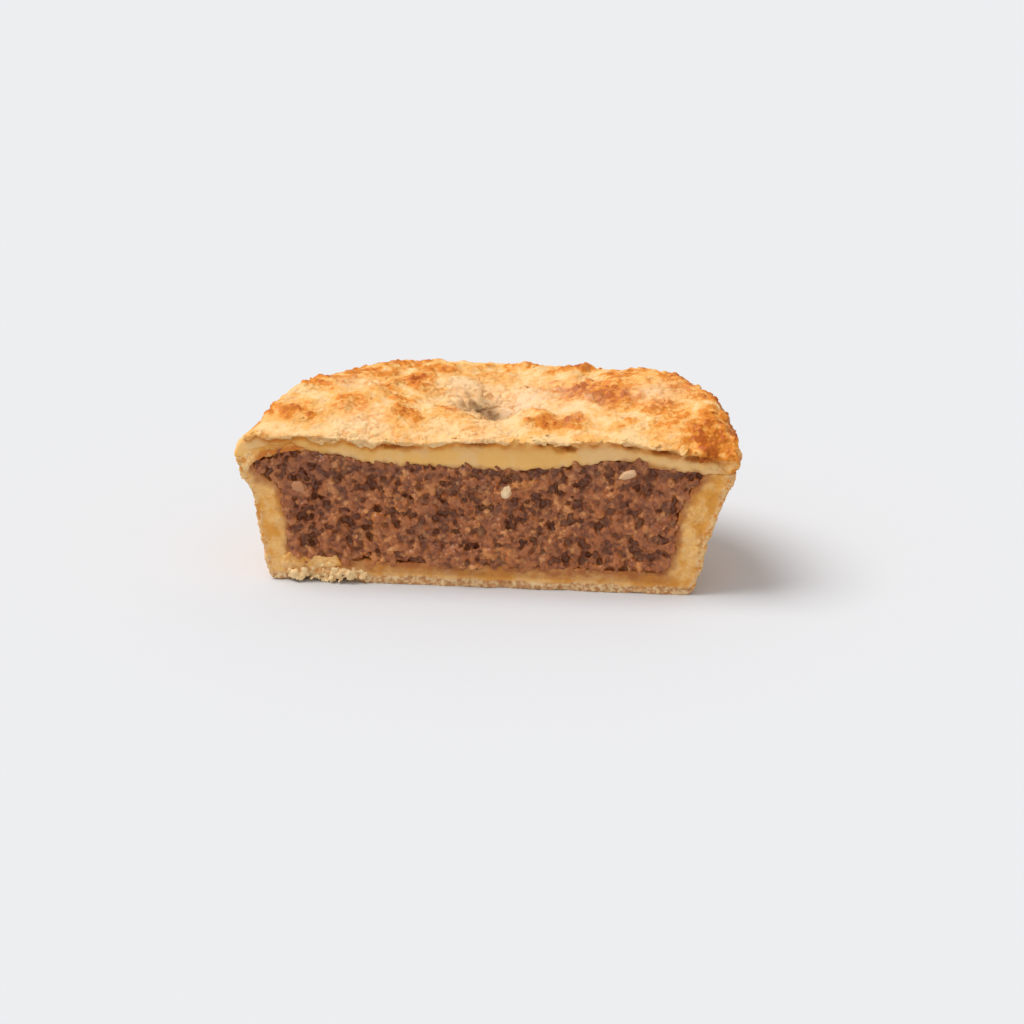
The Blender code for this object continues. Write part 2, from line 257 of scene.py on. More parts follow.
class PieSizes(bpy.types.PropertyGroup):
    """Sizes of the relief and of the scattered things."""

    lid_grid: length_property("Lid grid", "Size of the lid's finest faces", 0.39 * MM)
    case_grid: length_property("Case grid", "Size of the case's finest faces", 0.46 * MM)
    meat_grid: length_property("Meat grid", "Size of the cut meat's finest faces", 0.29 * MM)
    swell_height: length_property("Swell height", "How far the lid's broad pillows stand up", 0.55 * MM)
    blister_height: length_property("Blister height", "How far the lid's blisters stand up", 1.1 * MM)
    flake_height: length_property("Flake height", "Step from one flake of the lid to the next", 0.38 * MM)
    grain_height: length_property("Grain height", "Height of the crust's fine crumb", 0.025 * MM)
    piece_spacing: length_property("Minced spacing", "Least distance of minced pieces", 0.84 * MM)
    smallest_piece: length_property("Smallest piece", "Radius of the finest minced pieces", 0.62 * MM)
    largest_piece: length_property("Largest piece", "Radius of the coarsest minced pieces", 1.45 * MM)
    crumb_radius: length_property("Crumb radius", "Radius of a usual crumb", 0.66 * MM)


class PieColours(bpy.types.PropertyGroup):
    """Colours of the pastry and of the filling."""

    cream: colour_property("Cream", "The palest baked skin", 242, 202, 145)
    golden: colour_property("Golden", "The usual colour of the lid", 238, 176, 96)
    orange: colour_property("Orange", "Well browned spots", 222, 136, 42)
    brown: colour_property("Brown", "The darkest baked places", 184, 92, 18)
    floury: colour_property("Floury", "Dry pale skin round the vent", 238, 202, 164)
    # The pit colour is painted shade for the depth of the vent.
    pit: colour_property("Pit", "The shaded depth of the vent", 84, 46, 20)
    soft_pastry: colour_property("Soft pastry", "The smooth inside of the crust", 246, 193, 112)
    # This colour is both buttery streaks of the case and the lid's painted shade under its torn skin and in
    # its gaps.
    yellow_pastry: colour_property("Yellow pastry", "Buttery streaks in the crust's inside", 228, 158, 58)
    moist_pastry: colour_property("Moist pastry", "Pastry soaked by the filling", 172, 98, 44)
    crumb: colour_property("Crumb", "Broken pale crumb", 254, 227, 178)
    amber: colour_property("Amber", "Pastry baked dark where the filling drew back", 206, 118, 34)
    # The darkest meat colour is painted shade for the gaps and for the top under the lid.
    meat_dark: colour_property("Dark meat", "Deep gaps between the minced pieces", 78, 30, 10)
    meat_brown: colour_property("Brown meat", "The darkest minced pieces", 138, 74, 38)
    meat: colour_property("Meat", "The usual colour of the meat", 178, 104, 54)
    meat_light: colour_property("Light meat", "The palest minced pieces", 232, 164, 102)
    meat_orange: colour_property("Orange meat", "Pieces that took the colour of the fat", 210, 128, 52)
    fat: colour_property("Fat", "Pieces of fat and onion", 236, 208, 166)


class PieStage(bpy.types.PropertyGroup):
    """Camera and light."""

    azimuth: bpy.props.FloatProperty(
        name="Azimuth", description="Camera's turn round the pie", default=math.radians(6), subtype="ANGLE"
    )
    elevation: bpy.props.FloatProperty(
        name="Elevation", description="Camera's height angle", default=math.radians(20.5), subtype="ANGLE"
    )
    distance: length_property("Distance", "From the camera to the pie", 0.75)
    lens: bpy.props.FloatProperty(name="Lens", description="Focal length in millimetres", default=100.64)
    floor: colour_property("Floor", "Colour of the floor", 214, 217, 223)
    room: bpy.props.FloatProperty(name="Room", description="Strength of the light all round", default=0.6)
    key: bpy.props.FloatProperty(name="Key", description="Strength of the upper left light", default=2.38)


# Meshes.


def object_from(name, mesh):
    """A new object that shows the mesh, at the origin."""
    mesh.name = name
    made = bpy.data.objects.new(name, mesh)
    bpy.context.scene.collection.objects.link(made)
    return made


def flattened(thing):
    """Replaces the object's mesh by what its modifiers make of it, and removes them."""
    graph = bpy.context.evaluated_depsgraph_get()
    mesh = bpy.data.meshes.new_from_object(thing.evaluated_get(graph))
    thing.modifiers.clear()
    old = thing.data
    thing.data = mesh
    mesh.name = thing.name
    bpy.data.meshes.remove(old)
    return thing


def mesh_from(bm, name):
    """A mesh of that name with what was edited, which is then freed."""
    mesh = bpy.data.meshes.new(name)
    bm.to_mesh(mesh)
    bm.free()
    return mesh


def welded_copy(node, name):
    """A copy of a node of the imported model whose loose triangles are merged."""
    bm = bmesh.new()
    bm.from_mesh(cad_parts[node].data)
    bmesh.ops.remove_doubles(bm, verts=bm.verts, dist=0.01 * MM)
    mesh = mesh_from(bm, name)
    for attribute in [a for a in mesh.attributes if a.name.startswith("custom")]:
        mesh.attributes.remove(attribute)
    mesh.materials.clear()
    return object_from(name, mesh)


def remeshed(thing, grid):
    """Wraps everything that the object holds in one skin of even small faces."""
    wrap = thing.modifiers.new("wrap", "REMESH")
    wrap.mode = "VOXEL"
    wrap.voxel_size = grid
    wrap.use_smooth_shade = True
    return flattened(thing)


def places_and_normals(thing):
    """Two arrays of a row for each point of the object's mesh."""
    mesh = thing.data
    places = np.empty(3 * len(mesh.vertices))
    normals = np.empty(3 * len(mesh.vertices))
    mesh.vertices.foreach_get("co", places)
    mesh.vertices.foreach_get("normal", normals)
    return places.reshape(-1, 3), normals.reshape(-1, 3)


def move_points(thing, places):
    """Moves the points of the object's mesh to the places."""
    thing.data.vertices.foreach_set("co", places.ravel())
    thing.data.update()


def on_the_cut(places):
    """How far each place is to the right of the cut's middle, and how high, in millimetres."""
    return (places[:, 0] - MIDDLE_X) / MM, places[:, 2] / MM


def paint(thing, name, values):
    """Keeps one number for each point of the mesh under that name."""
    layer = thing.data.attributes.get(name) or thing.data.attributes.new(name, "FLOAT", "POINT")
    layer.data.foreach_set("value", np.asarray(values, dtype=np.float32))


def thinned(thing, unseen, share):
    """Collapses faces where nobody looks until that share of all faces is left."""
    group = thing.vertex_groups.new(name="unseen")
    group.add([int(i) for i in np.flatnonzero(unseen)], 1.0, "REPLACE")
    collapse = thing.modifiers.new("collapse", "DECIMATE")
    collapse.ratio = share
    collapse.vertex_group = "unseen"
    flattened(thing)
    thing.vertex_groups.clear()
    return thing


def smooth(share):
    """A ramp from 0 to 1 with level ends, also for arrays."""
    share = np.clip(share, 0.0, 1.0)
    return share * share * (3 - 2 * share)


def waves(places, size, seed):
    """Smooth unevenness from -1 to 1 whose waves are about size wide, for rows of places."""
    shift = Vector((seed, 0.37 * seed, 0.71 * seed))
    return np.array([noise.noise(Vector(place) / size + shift) for place in places])


def eased(heights, share):
    """The height at each share of the way along a row of heights, eased from each to the next."""
    along = np.clip(share, 0.0, 0.9999) * (len(heights) - 1)
    low = along.astype(int)
    heights = np.array(heights)
    return heights[low] + (heights[low + 1] - heights[low]) * smooth(along - low)


def forms(places, listed):
    """The height, in metres, that the listed round bumps and hollows add to each place."""
    total = np.zeros(len(places))
    for across, behind, radius, height in listed:
        dx = (places[:, 0] - MIDDLE_X) / MM - across
        dy = (places[:, 1] - CUT_Y) / MM - behind
        total += height * (1 - np.clip((dx**2 + dy**2) / radius**2, 0, 1)) ** 2
    return total * MM


def spots(places, listed):
    """How strongly the listed round spots cover each place, seen from above."""
    total = np.zeros(len(places))
    for across, behind, radius, strength in listed:
        dx = places[:, 0] / MM - MIDDLE_X / MM - across
        dy = (places[:, 1] - CUT_Y) / MM - behind
        total = np.maximum(total, strength * np.exp(-(dx**2 + dy**2) / radius**2))
    return total


def surface_tree(node, keep):
    """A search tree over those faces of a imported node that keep(centre, normal) picks."""
    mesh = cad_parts[node].data
    faces = [face.vertices[:] for face in mesh.polygons if keep(face.center, face.normal)]
    return BVHTree.FromPolygons([vertex.co[:] for vertex in mesh.vertices], faces)


def distances(places, wanted, tree, otherwise=9.0):
    """How far each wanted place lies from the tree's surface, in millimetres."""
    found = np.full(len(places), otherwise)
    for i in np.flatnonzero(wanted):
        found[i] = tree.find_nearest(Vector(places[i]))[3] / MM
    return found


def at_the_cut(places, listed):
    """How strongly the listed spots, given as across and height, cover each place of the cut."""
    upright = np.column_stack((places[:, 0], places[:, 2] + CUT_Y, places[:, 1]))
    return spots(upright, listed)


def finished_piece(thing, node, material):
    """Gives the piece its material and tells the frame what it is part of."""
    thing.data.materials.clear()
    thing.data.materials.append(material)
    thing.data.shade_smooth()
    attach(thing, "root")
    if node:
        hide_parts(node)


# Node trees.


def put(tree, kind, inputs=None, **settings):
    """Adds a node, with its settings, and sets or links the inputs named."""
    node = tree.nodes.new(kind)
    for name, value in settings.items():
        setattr(node, name, value)
    for key, value in (inputs or {}).items():
        if isinstance(value, bpy.types.NodeSocket):
            tree.links.new(value, node.inputs[key])
        else:
            node.inputs[key].default_value = value
    return node


def sums(tree, operation, first, second=0.0, third=0.0, clamp=False):
    """The output of a Math node."""
    node = put(tree, "ShaderNodeMath", {0: first, 1: second, 2: third}, operation=operation)
    node.use_clamp = clamp
    return node.outputs[0]


def times(tree, first, second, clamp=False):
    """The product of two numbers or outputs."""
    return sums(tree, "MULTIPLY", first, second, clamp=clamp)


def vectors(tree, operation, first, second):
    """The output of a Vector Math node. Where it scales the first, the second is a number."""
    other = "Scale" if operation == "SCALE" else 1
    return put(tree, "ShaderNodeVectorMath", {0: first, other: second}, operation=operation).outputs[0]


def ramp_between(tree, value, low, high, start=0.0, end=1.0):
    """The output of a smooth Map Range node."""
    node = put(
        tree,
        "ShaderNodeMapRange",
        {"Value": value, "From Min": low, "From Max": high, "To Min": start, "To Max": end},
        interpolation_type="SMOOTHSTEP",
    )
    return node.outputs[0]


def mixed(tree, share, first, second, blend="MIX"):
    """The output of a colour mix."""
    node = put(tree, "ShaderNodeMix", {0: share}, data_type="RGBA", blend_type=blend)
    for socket, value in ((node.inputs[6], first), (node.inputs[7], second)):
        if isinstance(value, bpy.types.NodeSocket):
            tree.links.new(value, socket)
        else:
            socket.default_value = (*value, 1.0)
    return node.outputs[2]


def new_group(name, kind, inputs, outputs):
    """A node group with named sockets, and its input and output nodes."""
    group = bpy.data.node_groups.new(name, kind)
    for label, socket_type, default in inputs:
        socket = group.interface.new_socket(label, in_out="INPUT", socket_type=socket_type)
        if default is not None:
            socket.default_value = default
    for label, socket_type in outputs:
        group.interface.new_socket(label, in_out="OUTPUT", socket_type=socket_type)
    return group, group.nodes.new("NodeGroupInput").outputs, group.nodes.new("NodeGroupOutput").inputs


def geometry_group(name, numbers):
    """A Geometry Nodes group that takes a mesh, these numbers and a material, and gives a mesh."""
    inputs = [("Geometry", "NodeSocketGeometry", None)]
    for label, default in numbers.items():
        inputs.append((label, "NodeSocketInt" if isinstance(default, int) else "NodeSocketFloat", default))
    inputs.append(("Material", "NodeSocketMaterial", None))
    return new_group(name, "GeometryNodeTree", inputs, [("Geometry", "NodeSocketGeometry")])


def end_group(tree, geometry, offset, given, result):
    """Moves the points by the offset, makes all of it real and gives it the group's material."""
    moved = put(tree, "GeometryNodeSetPosition", {"Geometry": geometry, "Offset": offset}).outputs[0]
    real = put(tree, "GeometryNodeRealizeInstances", {0: moved}).outputs[0]
    painted = put(tree, "GeometryNodeSetMaterial", {"Geometry": real, "Material": given["Material"]})
    tree.links.new(painted.outputs[0], result["Geometry"])


def applied_nodes(thing, make, values):
    """Runs the object's mesh through the group that make builds, with these inputs, and keeps the result."""
    group = bpy.data.node_groups.get(make.__name__.replace("_", " ")) or make()
    modifier = thing.modifiers.new(group.name, "NODES")
    modifier.node_group = group
    for item in group.interface.items_tree:
        if item.item_type == "SOCKET" and item.in_out == "INPUT" and item.name in values:
            modifier[item.identifier] = values[item.name]
    return flattened(thing)


def painted_mask(tree, name):
    """The mask of that name, as the points of the mesh carry it."""
    return put(tree, "GeometryNodeInputNamedAttribute", {"Name": name}, data_type="FLOAT").outputs[0]


def kept_as(tree, geometry, name, value, domain="POINT"):
    """The geometry, with a number for each point or instance kept under that name."""
    inputs = {"Geometry": geometry, "Name": name, "Value": value}
    return put(tree, "GeometryNodeStoreNamedAttribute", inputs, data_type="FLOAT", domain=domain).outputs[0]


def random_between(tree, low, high, seed, identifier):
    """A random number for each point or instance."""
    node = put(tree, "FunctionNodeRandomValue", data_type="FLOAT")
    node.inputs[2].default_value = low
    node.inputs[3].default_value = high
    tree.links.new(sums(tree, "ADD", seed, float(identifier)), node.inputs["Seed"])
    return node.outputs[1]


def random_radius(tree, given, skew):
    """A radius between the group's smallest and largest. The larger the skew, the more are small."""
    chance = sums(tree, "POWER", random_between(tree, 0.0, 1.0, given["Seed"], 2), skew)
    span = sums(tree, "SUBTRACT", given["Largest"], given["Smallest"])
    return sums(tree, "MULTIPLY_ADD", chance, span, given["Smallest"])


def strewn_points(tree, given, most):
    """A node that strews points over the group's mesh, at most that many for each square metre."""
    inputs = {
        "Mesh": given["Geometry"],
        "Distance Min": given["Spacing"],
        "Density Max": most,
        "Seed": given["Seed"],
    }
    return put(tree, "GeometryNodeDistributePointsOnFaces", inputs, distribute_method="POISSON")


def along_normal(tree, height):
    """A move of that height along the surface's normal."""
    return vectors(tree, "SCALE", put(tree, "GeometryNodeInputNormal").outputs[0], height)


def shaken_by(tree, noises, reach):
    """A random move of up to half the reach each way, from a noise with those inputs."""
    colour = put(tree, "ShaderNodeTexNoise", noises).outputs[1]
    return vectors(tree, "SCALE", vectors(tree, "SUBTRACT", colour, (0.5, 0.5, 0.5)), reach)


def crust_relief():
    """Pushes a crust's points along their normals into pillows, blisters, flakes and crumb, with small pits.

    The painted mask crag says how rough each place is, and blistered how much of its blisters stands up.
    How far they do is kept as rise, from 0 to 1, and the pits and creases as crack.
    """
    tree, given, result = geometry_group(
        "crust relief",
        {
            "Swell Size": 7 * MM,
            "Swell Height": 0.5 * MM,
            "Blister Size": 4 * MM,
            "Blister Height": 0.5 * MM,
            "Flake Size": 3 * MM,
            "Flake Height": 0.3 * MM,
            "Grain Size": 1 * MM,
            "Grain Height": 0.1 * MM,
            "Pit Depth": 0.3 * MM,
        },
    )
    place = put(tree, "GeometryNodeInputPosition").outputs[0]
    crag, blistered = painted_mask(tree, "crag"), painted_mask(tree, "blistered")
    swell = noise_field(tree, place, given["Swell Size"], 1.5)
    shaken = warped(tree, place, times(tree, given["Blister Size"], 0.7), given["Blister Size"], 0.3)
    domes = []
    for share, from_level in ((1.0, 0.2), (0.5, 0.1), (0.28, 0.2)):
        dome = dome_cells(tree, shaken, times(tree, given["Blister Size"], share), from_level)
        domes.append(times(tree, dome, blistered))
    blister, blob, bead = domes
    torn = warped(tree, place, given["Flake Size"], given["Flake Size"], 0.8)
    torn = warped(tree, torn, times(tree, given["Flake Size"], 0.35), given["Flake Size"], 0.14)
    flaky = noise_field(tree, place, times(tree, given["Flake Size"], 3.0), 1.0)
    flaky = ramp_between(tree, flaky, -0.08, 0.08)
    plate, crack = (times(tree, each, flaky) for each in flake_plates(tree, torn, given["Flake Size"]))
    fold = noise_field(tree, torn, times(tree, given["Flake Size"], 1.2), 2.0)
    fold = ramp_between(tree, sums(tree, "ABSOLUTE", fold), 0.0, 0.05, 1.0, 0.0)
    grain = noise_field(tree, place, given["Grain Size"], 3.0)
    holes = cells(tree, place, given["Grain Size"], per_size=0.6)
    rare = ramp_between(tree, random_level(tree, holes, 1), 0.86, 0.88)
    pit = times(tree, ramp_between(tree, holes["Distance"], 0.12, 0.36, 1.0, 0.0), rare)
    height = times(tree, swell, times(tree, given["Swell Height"], 3.0))
    for form, reach, share in (
        (blister, "Blister Height", 1.0),
        (blob, "Blister Height", 0.6),
        (bead, "Blister Height", 0.2),
        (fold, "Flake Height", 0.6),
        (plate, "Flake Height", 1.0),
        (crack, "Flake Height", -0.5),
        (grain, "Grain Height", 3.0),
        (pit, "Pit Depth", -1.0),
    ):
        height = sums(tree, "MULTIPLY_ADD", form, times(tree, given[reach], share), height)
    rise = sums(tree, "MULTIPLY_ADD", swell, 0.7, 0.05)
    for form, share in ((blister, 1.0), (blob, 0.6), (fold, 0.15)):
        rise = sums(tree, "MULTIPLY_ADD", form, share, rise)
    rise = sums(tree, "MULTIPLY_ADD", bead, 0.2, rise, clamp=True)
    crease = sums(tree, "MAXIMUM", pit, times(tree, crack, 0.8))
    kept = kept_as(tree, given["Geometry"], "rise", rise)
    kept = kept_as(tree, kept, "crack", times(tree, crease, crag, clamp=True))
    end_group(tree, kept, along_normal(tree, times(tree, height, crag)), given, result)
    return tree


def dome_cells(tree, place, size, from_level):
    """Rounded blisters of about that size, from 0 to 1, in the cells whose random level is high enough."""
    found = cells(tree, place, size)
    away = times(tree, found["Distance"], 1.6)
    dome = sums(tree, "SUBTRACT", 1.0, times(tree, away, away), clamp=True)
    level = random_level(tree, found, 2)
    return times(tree, sums(tree, "POWER", dome, 1.4), ramp_between(tree, level, from_level, 1.0))


def noise_field(tree, place, size, detail):
    """Smooth unevenness round 0, whose waves are about size wide."""
    scale = sums(tree, "DIVIDE", 1.0, size)
    noises = {"Vector": place, "Scale": scale, "Detail": detail, "Roughness": 0.5}
    return sums(tree, "SUBTRACT", put(tree, "ShaderNodeTexNoise", noises).outputs[0], 0.5)


def cells(tree, place, size, feature="F1", per_size=1.0):
    """The outputs of a Voronoi node with that many cells for each size."""
    scale = sums(tree, "DIVIDE", per_size, size)
    return put(tree, "ShaderNodeTexVoronoi", {"Vector": place, "Scale": scale}, feature=feature).outputs


def random_level(tree, found, channel):
    """A random number from 0 to 1 for each cell, of which it has one in each of three channels."""
    return put(tree, "ShaderNodeSeparateXYZ", {0: found["Color"]}).outputs[channel]


def warped(tree, place, size, reach, share):
    """The place, shaken by waves of that size through a share of the reach."""
    noises = {"Vector": place, "Scale": sums(tree, "DIVIDE", 1.0, size)}
    return vectors(tree, "ADD", place, shaken_by(tree, noises, times(tree, reach, 2.0 * share)))


def flake_plates(tree, place, size):
    """Plates of random level round 0 with steep sides, and the cracks between them from 0 to 1."""
    level = random_level(tree, cells(tree, place, size), 0)
    border = cells(tree, place, size, "DISTANCE_TO_EDGE")["Distance"]
    level = times(tree, level, ramp_between(tree, border, 0.0, 0.12))
    return sums(tree, "SUBTRACT", level, 0.4), ramp_between(tree, border, 0.0, 0.07, 1.0, 0.0)


def berry_relief():
    """Covers minced pieces with small rounded bumps, with gaps between clumps of them."""
    tree, given, result = geometry_group(
        "berry relief",
        {"Bump Size": 1.2 * MM, "Bump Height": 0.3 * MM, "Clump Size": 5 * MM, "Gap Depth": 1 * MM},
    )
    place = put(tree, "GeometryNodeInputPosition").outputs[0]
    shaken = warped(tree, place, given["Bump Size"], given["Bump Size"], 0.4)
    away = cells(tree, shaken, given["Bump Size"])["Distance"]
    dome = sums(tree, "MULTIPLY_ADD", times(tree, away, away), -2.2, 0.5)
    rough = noise_field(tree, place, times(tree, given["Bump Size"], 5.0), 1.0)
    rough = ramp_between(tree, rough, -0.12, 0.06, 0.12, 1.0)
    height = times(tree, times(tree, dome, rough), given["Bump Height"])
    fine = noise_field(tree, place, times(tree, given["Bump Size"], 0.5), 2.0)
    height = sums(tree, "MULTIPLY_ADD", fine, given["Bump Height"], height)
    shaken = warped(tree, place, given["Clump Size"], given["Clump Size"], 0.5)
    shaken = vectors(tree, "MULTIPLY", shaken, (1.0, 0.6, 1.35))
    border = cells(tree, shaken, given["Clump Size"], "DISTANCE_TO_EDGE")["Distance"]
    gap = ramp_between(tree, border, 0.0, 0.3, 1.0, 0.0)
    where = noise_field(tree, place, times(tree, given["Clump Size"], 1.5), 1.0)
    gap = times(tree, gap, ramp_between(tree, where, -0.12, 0.1, 0.15, 1.0))
    height = sums(tree, "MULTIPLY_ADD", gap, times(tree, given["Gap Depth"], -1.0), height)
    offset = along_normal(tree, times(tree, height, painted_mask(tree, "crag")))
    end_group(tree, given["Geometry"], offset, given, result)
    return tree


def scattered_lumps():
    """Covers a surface with uneven rounded lumps, each with a random tone, sunk partly into it."""
    tree, given, result = geometry_group(
        "scattered lumps",
        {
            "Spacing": 1 * MM,
            "Smallest": 0.5 * MM,
            "Largest": 1.5 * MM,
            "Skew": 2.2,
            "Sink": 0.3 * MM,
            "Roughness": 0.2,
            "Seed": 1,
        },
    )
    seed = given["Seed"]
    strewn = strewn_points(tree, given, 3e6)
    sink = times(tree, given["Sink"], random_between(tree, -1.6, 0.6, seed, 1))
    sunk = vectors(tree, "SCALE", strewn.outputs["Normal"], sink)
    points = put(tree, "GeometryNodeSetPosition", {"Geometry": strewn.outputs[0], "Offset": sunk}).outputs[0]
    stretch = put(
        tree,
        "ShaderNodeCombineXYZ",
        {
            0: random_between(tree, 0.7, 1.35, seed, 3),
            1: random_between(tree, 0.7, 1.2, seed, 4),
            2: random_between(tree, 0.75, 1.1, seed, 5),
        },
    ).outputs[0]
    scale = vectors(tree, "SCALE", stretch, random_radius(tree, given, given["Skew"]))
    turns = {i: random_between(tree, 0.0, FULL_TURN, seed, 6 + i) for i in range(3)}
    turn = put(tree, "ShaderNodeCombineXYZ", turns).outputs[0]
    ball = put(tree, "GeometryNodeMeshIcoSphere", {"Radius": 1.0, "Subdivisions": 2}).outputs[0]
    lumps = put(
        tree,
        "GeometryNodeInstanceOnPoints",
        {"Points": points, "Instance": ball, "Rotation": turn, "Scale": scale},
    ).outputs[0]
    toned = kept_as(tree, lumps, "tone", random_between(tree, 0.0, 1.0, seed, 9), "INSTANCE")
    real = put(tree, "GeometryNodeRealizeInstances", {0: toned}).outputs[0]
    noises = {"Scale": sums(tree, "DIVIDE", 0.8, given["Largest"]), "Detail": 1.0}
    reach = times(tree, given["Largest"], times(tree, given["Roughness"], 4.0))
    end_group(tree, real, shaken_by(tree, noises, reach), given, result)
    return tree


def strewn_flakes():
    """Strews thin bent flakes over the places of a surface that the painted mask flaky picks."""
    tree, given, result = geometry_group(
        "strewn flakes",
        {
            "Spacing": 1.6 * MM,
            "Smallest": 0.5 * MM,
            "Largest": 1.8 * MM,
            "Thickness": 0.3 * MM,
            "Seed": 1,
        },
    )
    seed = given["Seed"]
    place = put(tree, "GeometryNodeInputPosition").outputs[0]
    patch = sums(tree, "ADD", noise_field(tree, place, 6 * MM, 2.0), painted_mask(tree, "flaky"))
    strewn = strewn_points(tree, given, 2e6)
    tree.links.new(sums(tree, "GREATER_THAN", patch, 0.55), strewn.inputs["Selection"])
    radius = random_radius(tree, given, 1.8)
    width = times(tree, radius, random_between(tree, 0.45, 1.0, seed, 3))
    stretch = put(tree, "ShaderNodeCombineXYZ", {0: radius, 1: width, 2: given["Thickness"]}).outputs[0]
    lean = put(
        tree,
        "ShaderNodeCombineXYZ",
        {
            0: random_between(tree, -0.22, 0.22, seed, 6),
            1: random_between(tree, -0.22, 0.22, seed, 7),
            2: random_between(tree, 0.0, FULL_TURN, seed, 8),
        },
    ).outputs[0]
    turns = {0: strewn.outputs["Rotation"], 1: lean}
    turn = put(tree, "FunctionNodeRotateRotation", turns, rotation_space="LOCAL").outputs[0]
    disc = {"Vertices": 9, "Side Segments": 1, "Fill Segments": 2, "Radius": 1.0, "Depth": 1.0}
    plate = put(tree, "GeometryNodeMeshCylinder", disc).outputs["Mesh"]
    flakes = put(
        tree,
        "GeometryNodeInstanceOnPoints",
        {"Points": strewn.outputs["Points"], "Instance": plate, "Rotation": turn, "Scale": stretch},
    )
    real = put(tree, "GeometryNodeRealizeInstances", {0: flakes.outputs[0]}).outputs[0]
    noises = {"Scale": sums(tree, "DIVIDE", 0.8, given["Largest"]), "Detail": 0.0}
    end_group(tree, real, shaken_by(tree, noises, times(tree, given["Largest"], 0.5)), given, result)
    return tree


# Materials.


def new_material(name):
    """A material with only a Principled shader in it: its tree, the shader and the surface's place."""
    material = bpy.data.materials.new(name)
    material.use_nodes = True
    tree = material.node_tree
    shader = tree.nodes["Principled BSDF"]
    place = put(tree, "ShaderNodeTexCoord").outputs["Object"]
    return material, tree, shader, place


def mask(tree, name):
    """The painted mask of that name."""
    return put(tree, "ShaderNodeAttribute", attribute_name=name).outputs["Fac"]


def speckle_group():
    """Soft blotches and fine specks on a surface, both from 0 to 1, and a height for bump."""
    tree, given, result = new_group(
        "speckle",
        "ShaderNodeTree",
        [
            ("Place", "NodeSocketVector", None),
            ("Blotch Size", "NodeSocketFloat", 4 * MM),
            ("Speck Size", "NodeSocketFloat", 0.6 * MM),
        ],
        [("Blotches", "NodeSocketFloat"), ("Specks", "NodeSocketFloat"), ("Height", "NodeSocketFloat")],
    )
    levels = []
    for size, detail, roughness in (("Blotch Size", 4.0, 0.6), ("Speck Size", 3.0, 0.65)):
        scale = sums(tree, "DIVIDE", 1.0, given[size])
        noises = {"Vector": given["Place"], "Scale": scale, "Detail": detail, "Roughness": roughness}
        levels.append(put(tree, "ShaderNodeTexNoise", noises).outputs[0])
    blotch, speck = levels
    pore_scale = times(tree, scale, 0.8)
    pores = put(tree, "ShaderNodeTexVoronoi", {"Vector": given["Place"], "Scale": pore_scale}, feature="F1")
    tree.links.new(ramp_between(tree, blotch, 0.3, 0.7), result["Blotches"])
    tree.links.new(ramp_between(tree, speck, 0.35, 0.65), result["Specks"])
    tree.links.new(sums(tree, "MULTIPLY_ADD", pores.outputs["Distance"], 0.35, speck), result["Height"])
    return tree


def speckles(tree, place, blotch, speck):
    """The outputs of the speckle group with blotches and specks of those sizes."""
    node = put(tree, "ShaderNodeGroup")
    node.node_tree = bpy.data.node_groups.get("speckle") or speckle_group()
    tree.links.new(place, node.inputs["Place"])
    node.inputs["Blotch Size"].default_value = blotch
    node.inputs["Speck Size"].default_value = speck
    return node.outputs


def bumped(tree, shader, height, distance):
    """Lets the height show as fine relief of that distance."""
    bump = put(tree, "ShaderNodeBump", {"Height": height, "Distance": distance})
    tree.links.new(bump.outputs[0], shader.inputs["Normal"])


def swayed(tree, total, value, middle, share):
    """The total, raised where the value is above the middle and lowered where it is below."""
    return sums(tree, "MULTIPLY_ADD", sums(tree, "SUBTRACT", value, middle), share, total)


def masked(tree, colour, name, share, other):
    """The colour, with a share of the other laid over it where the painted mask of that name is."""
    return mixed(tree, times(tree, mask(tree, name), share), colour, other)


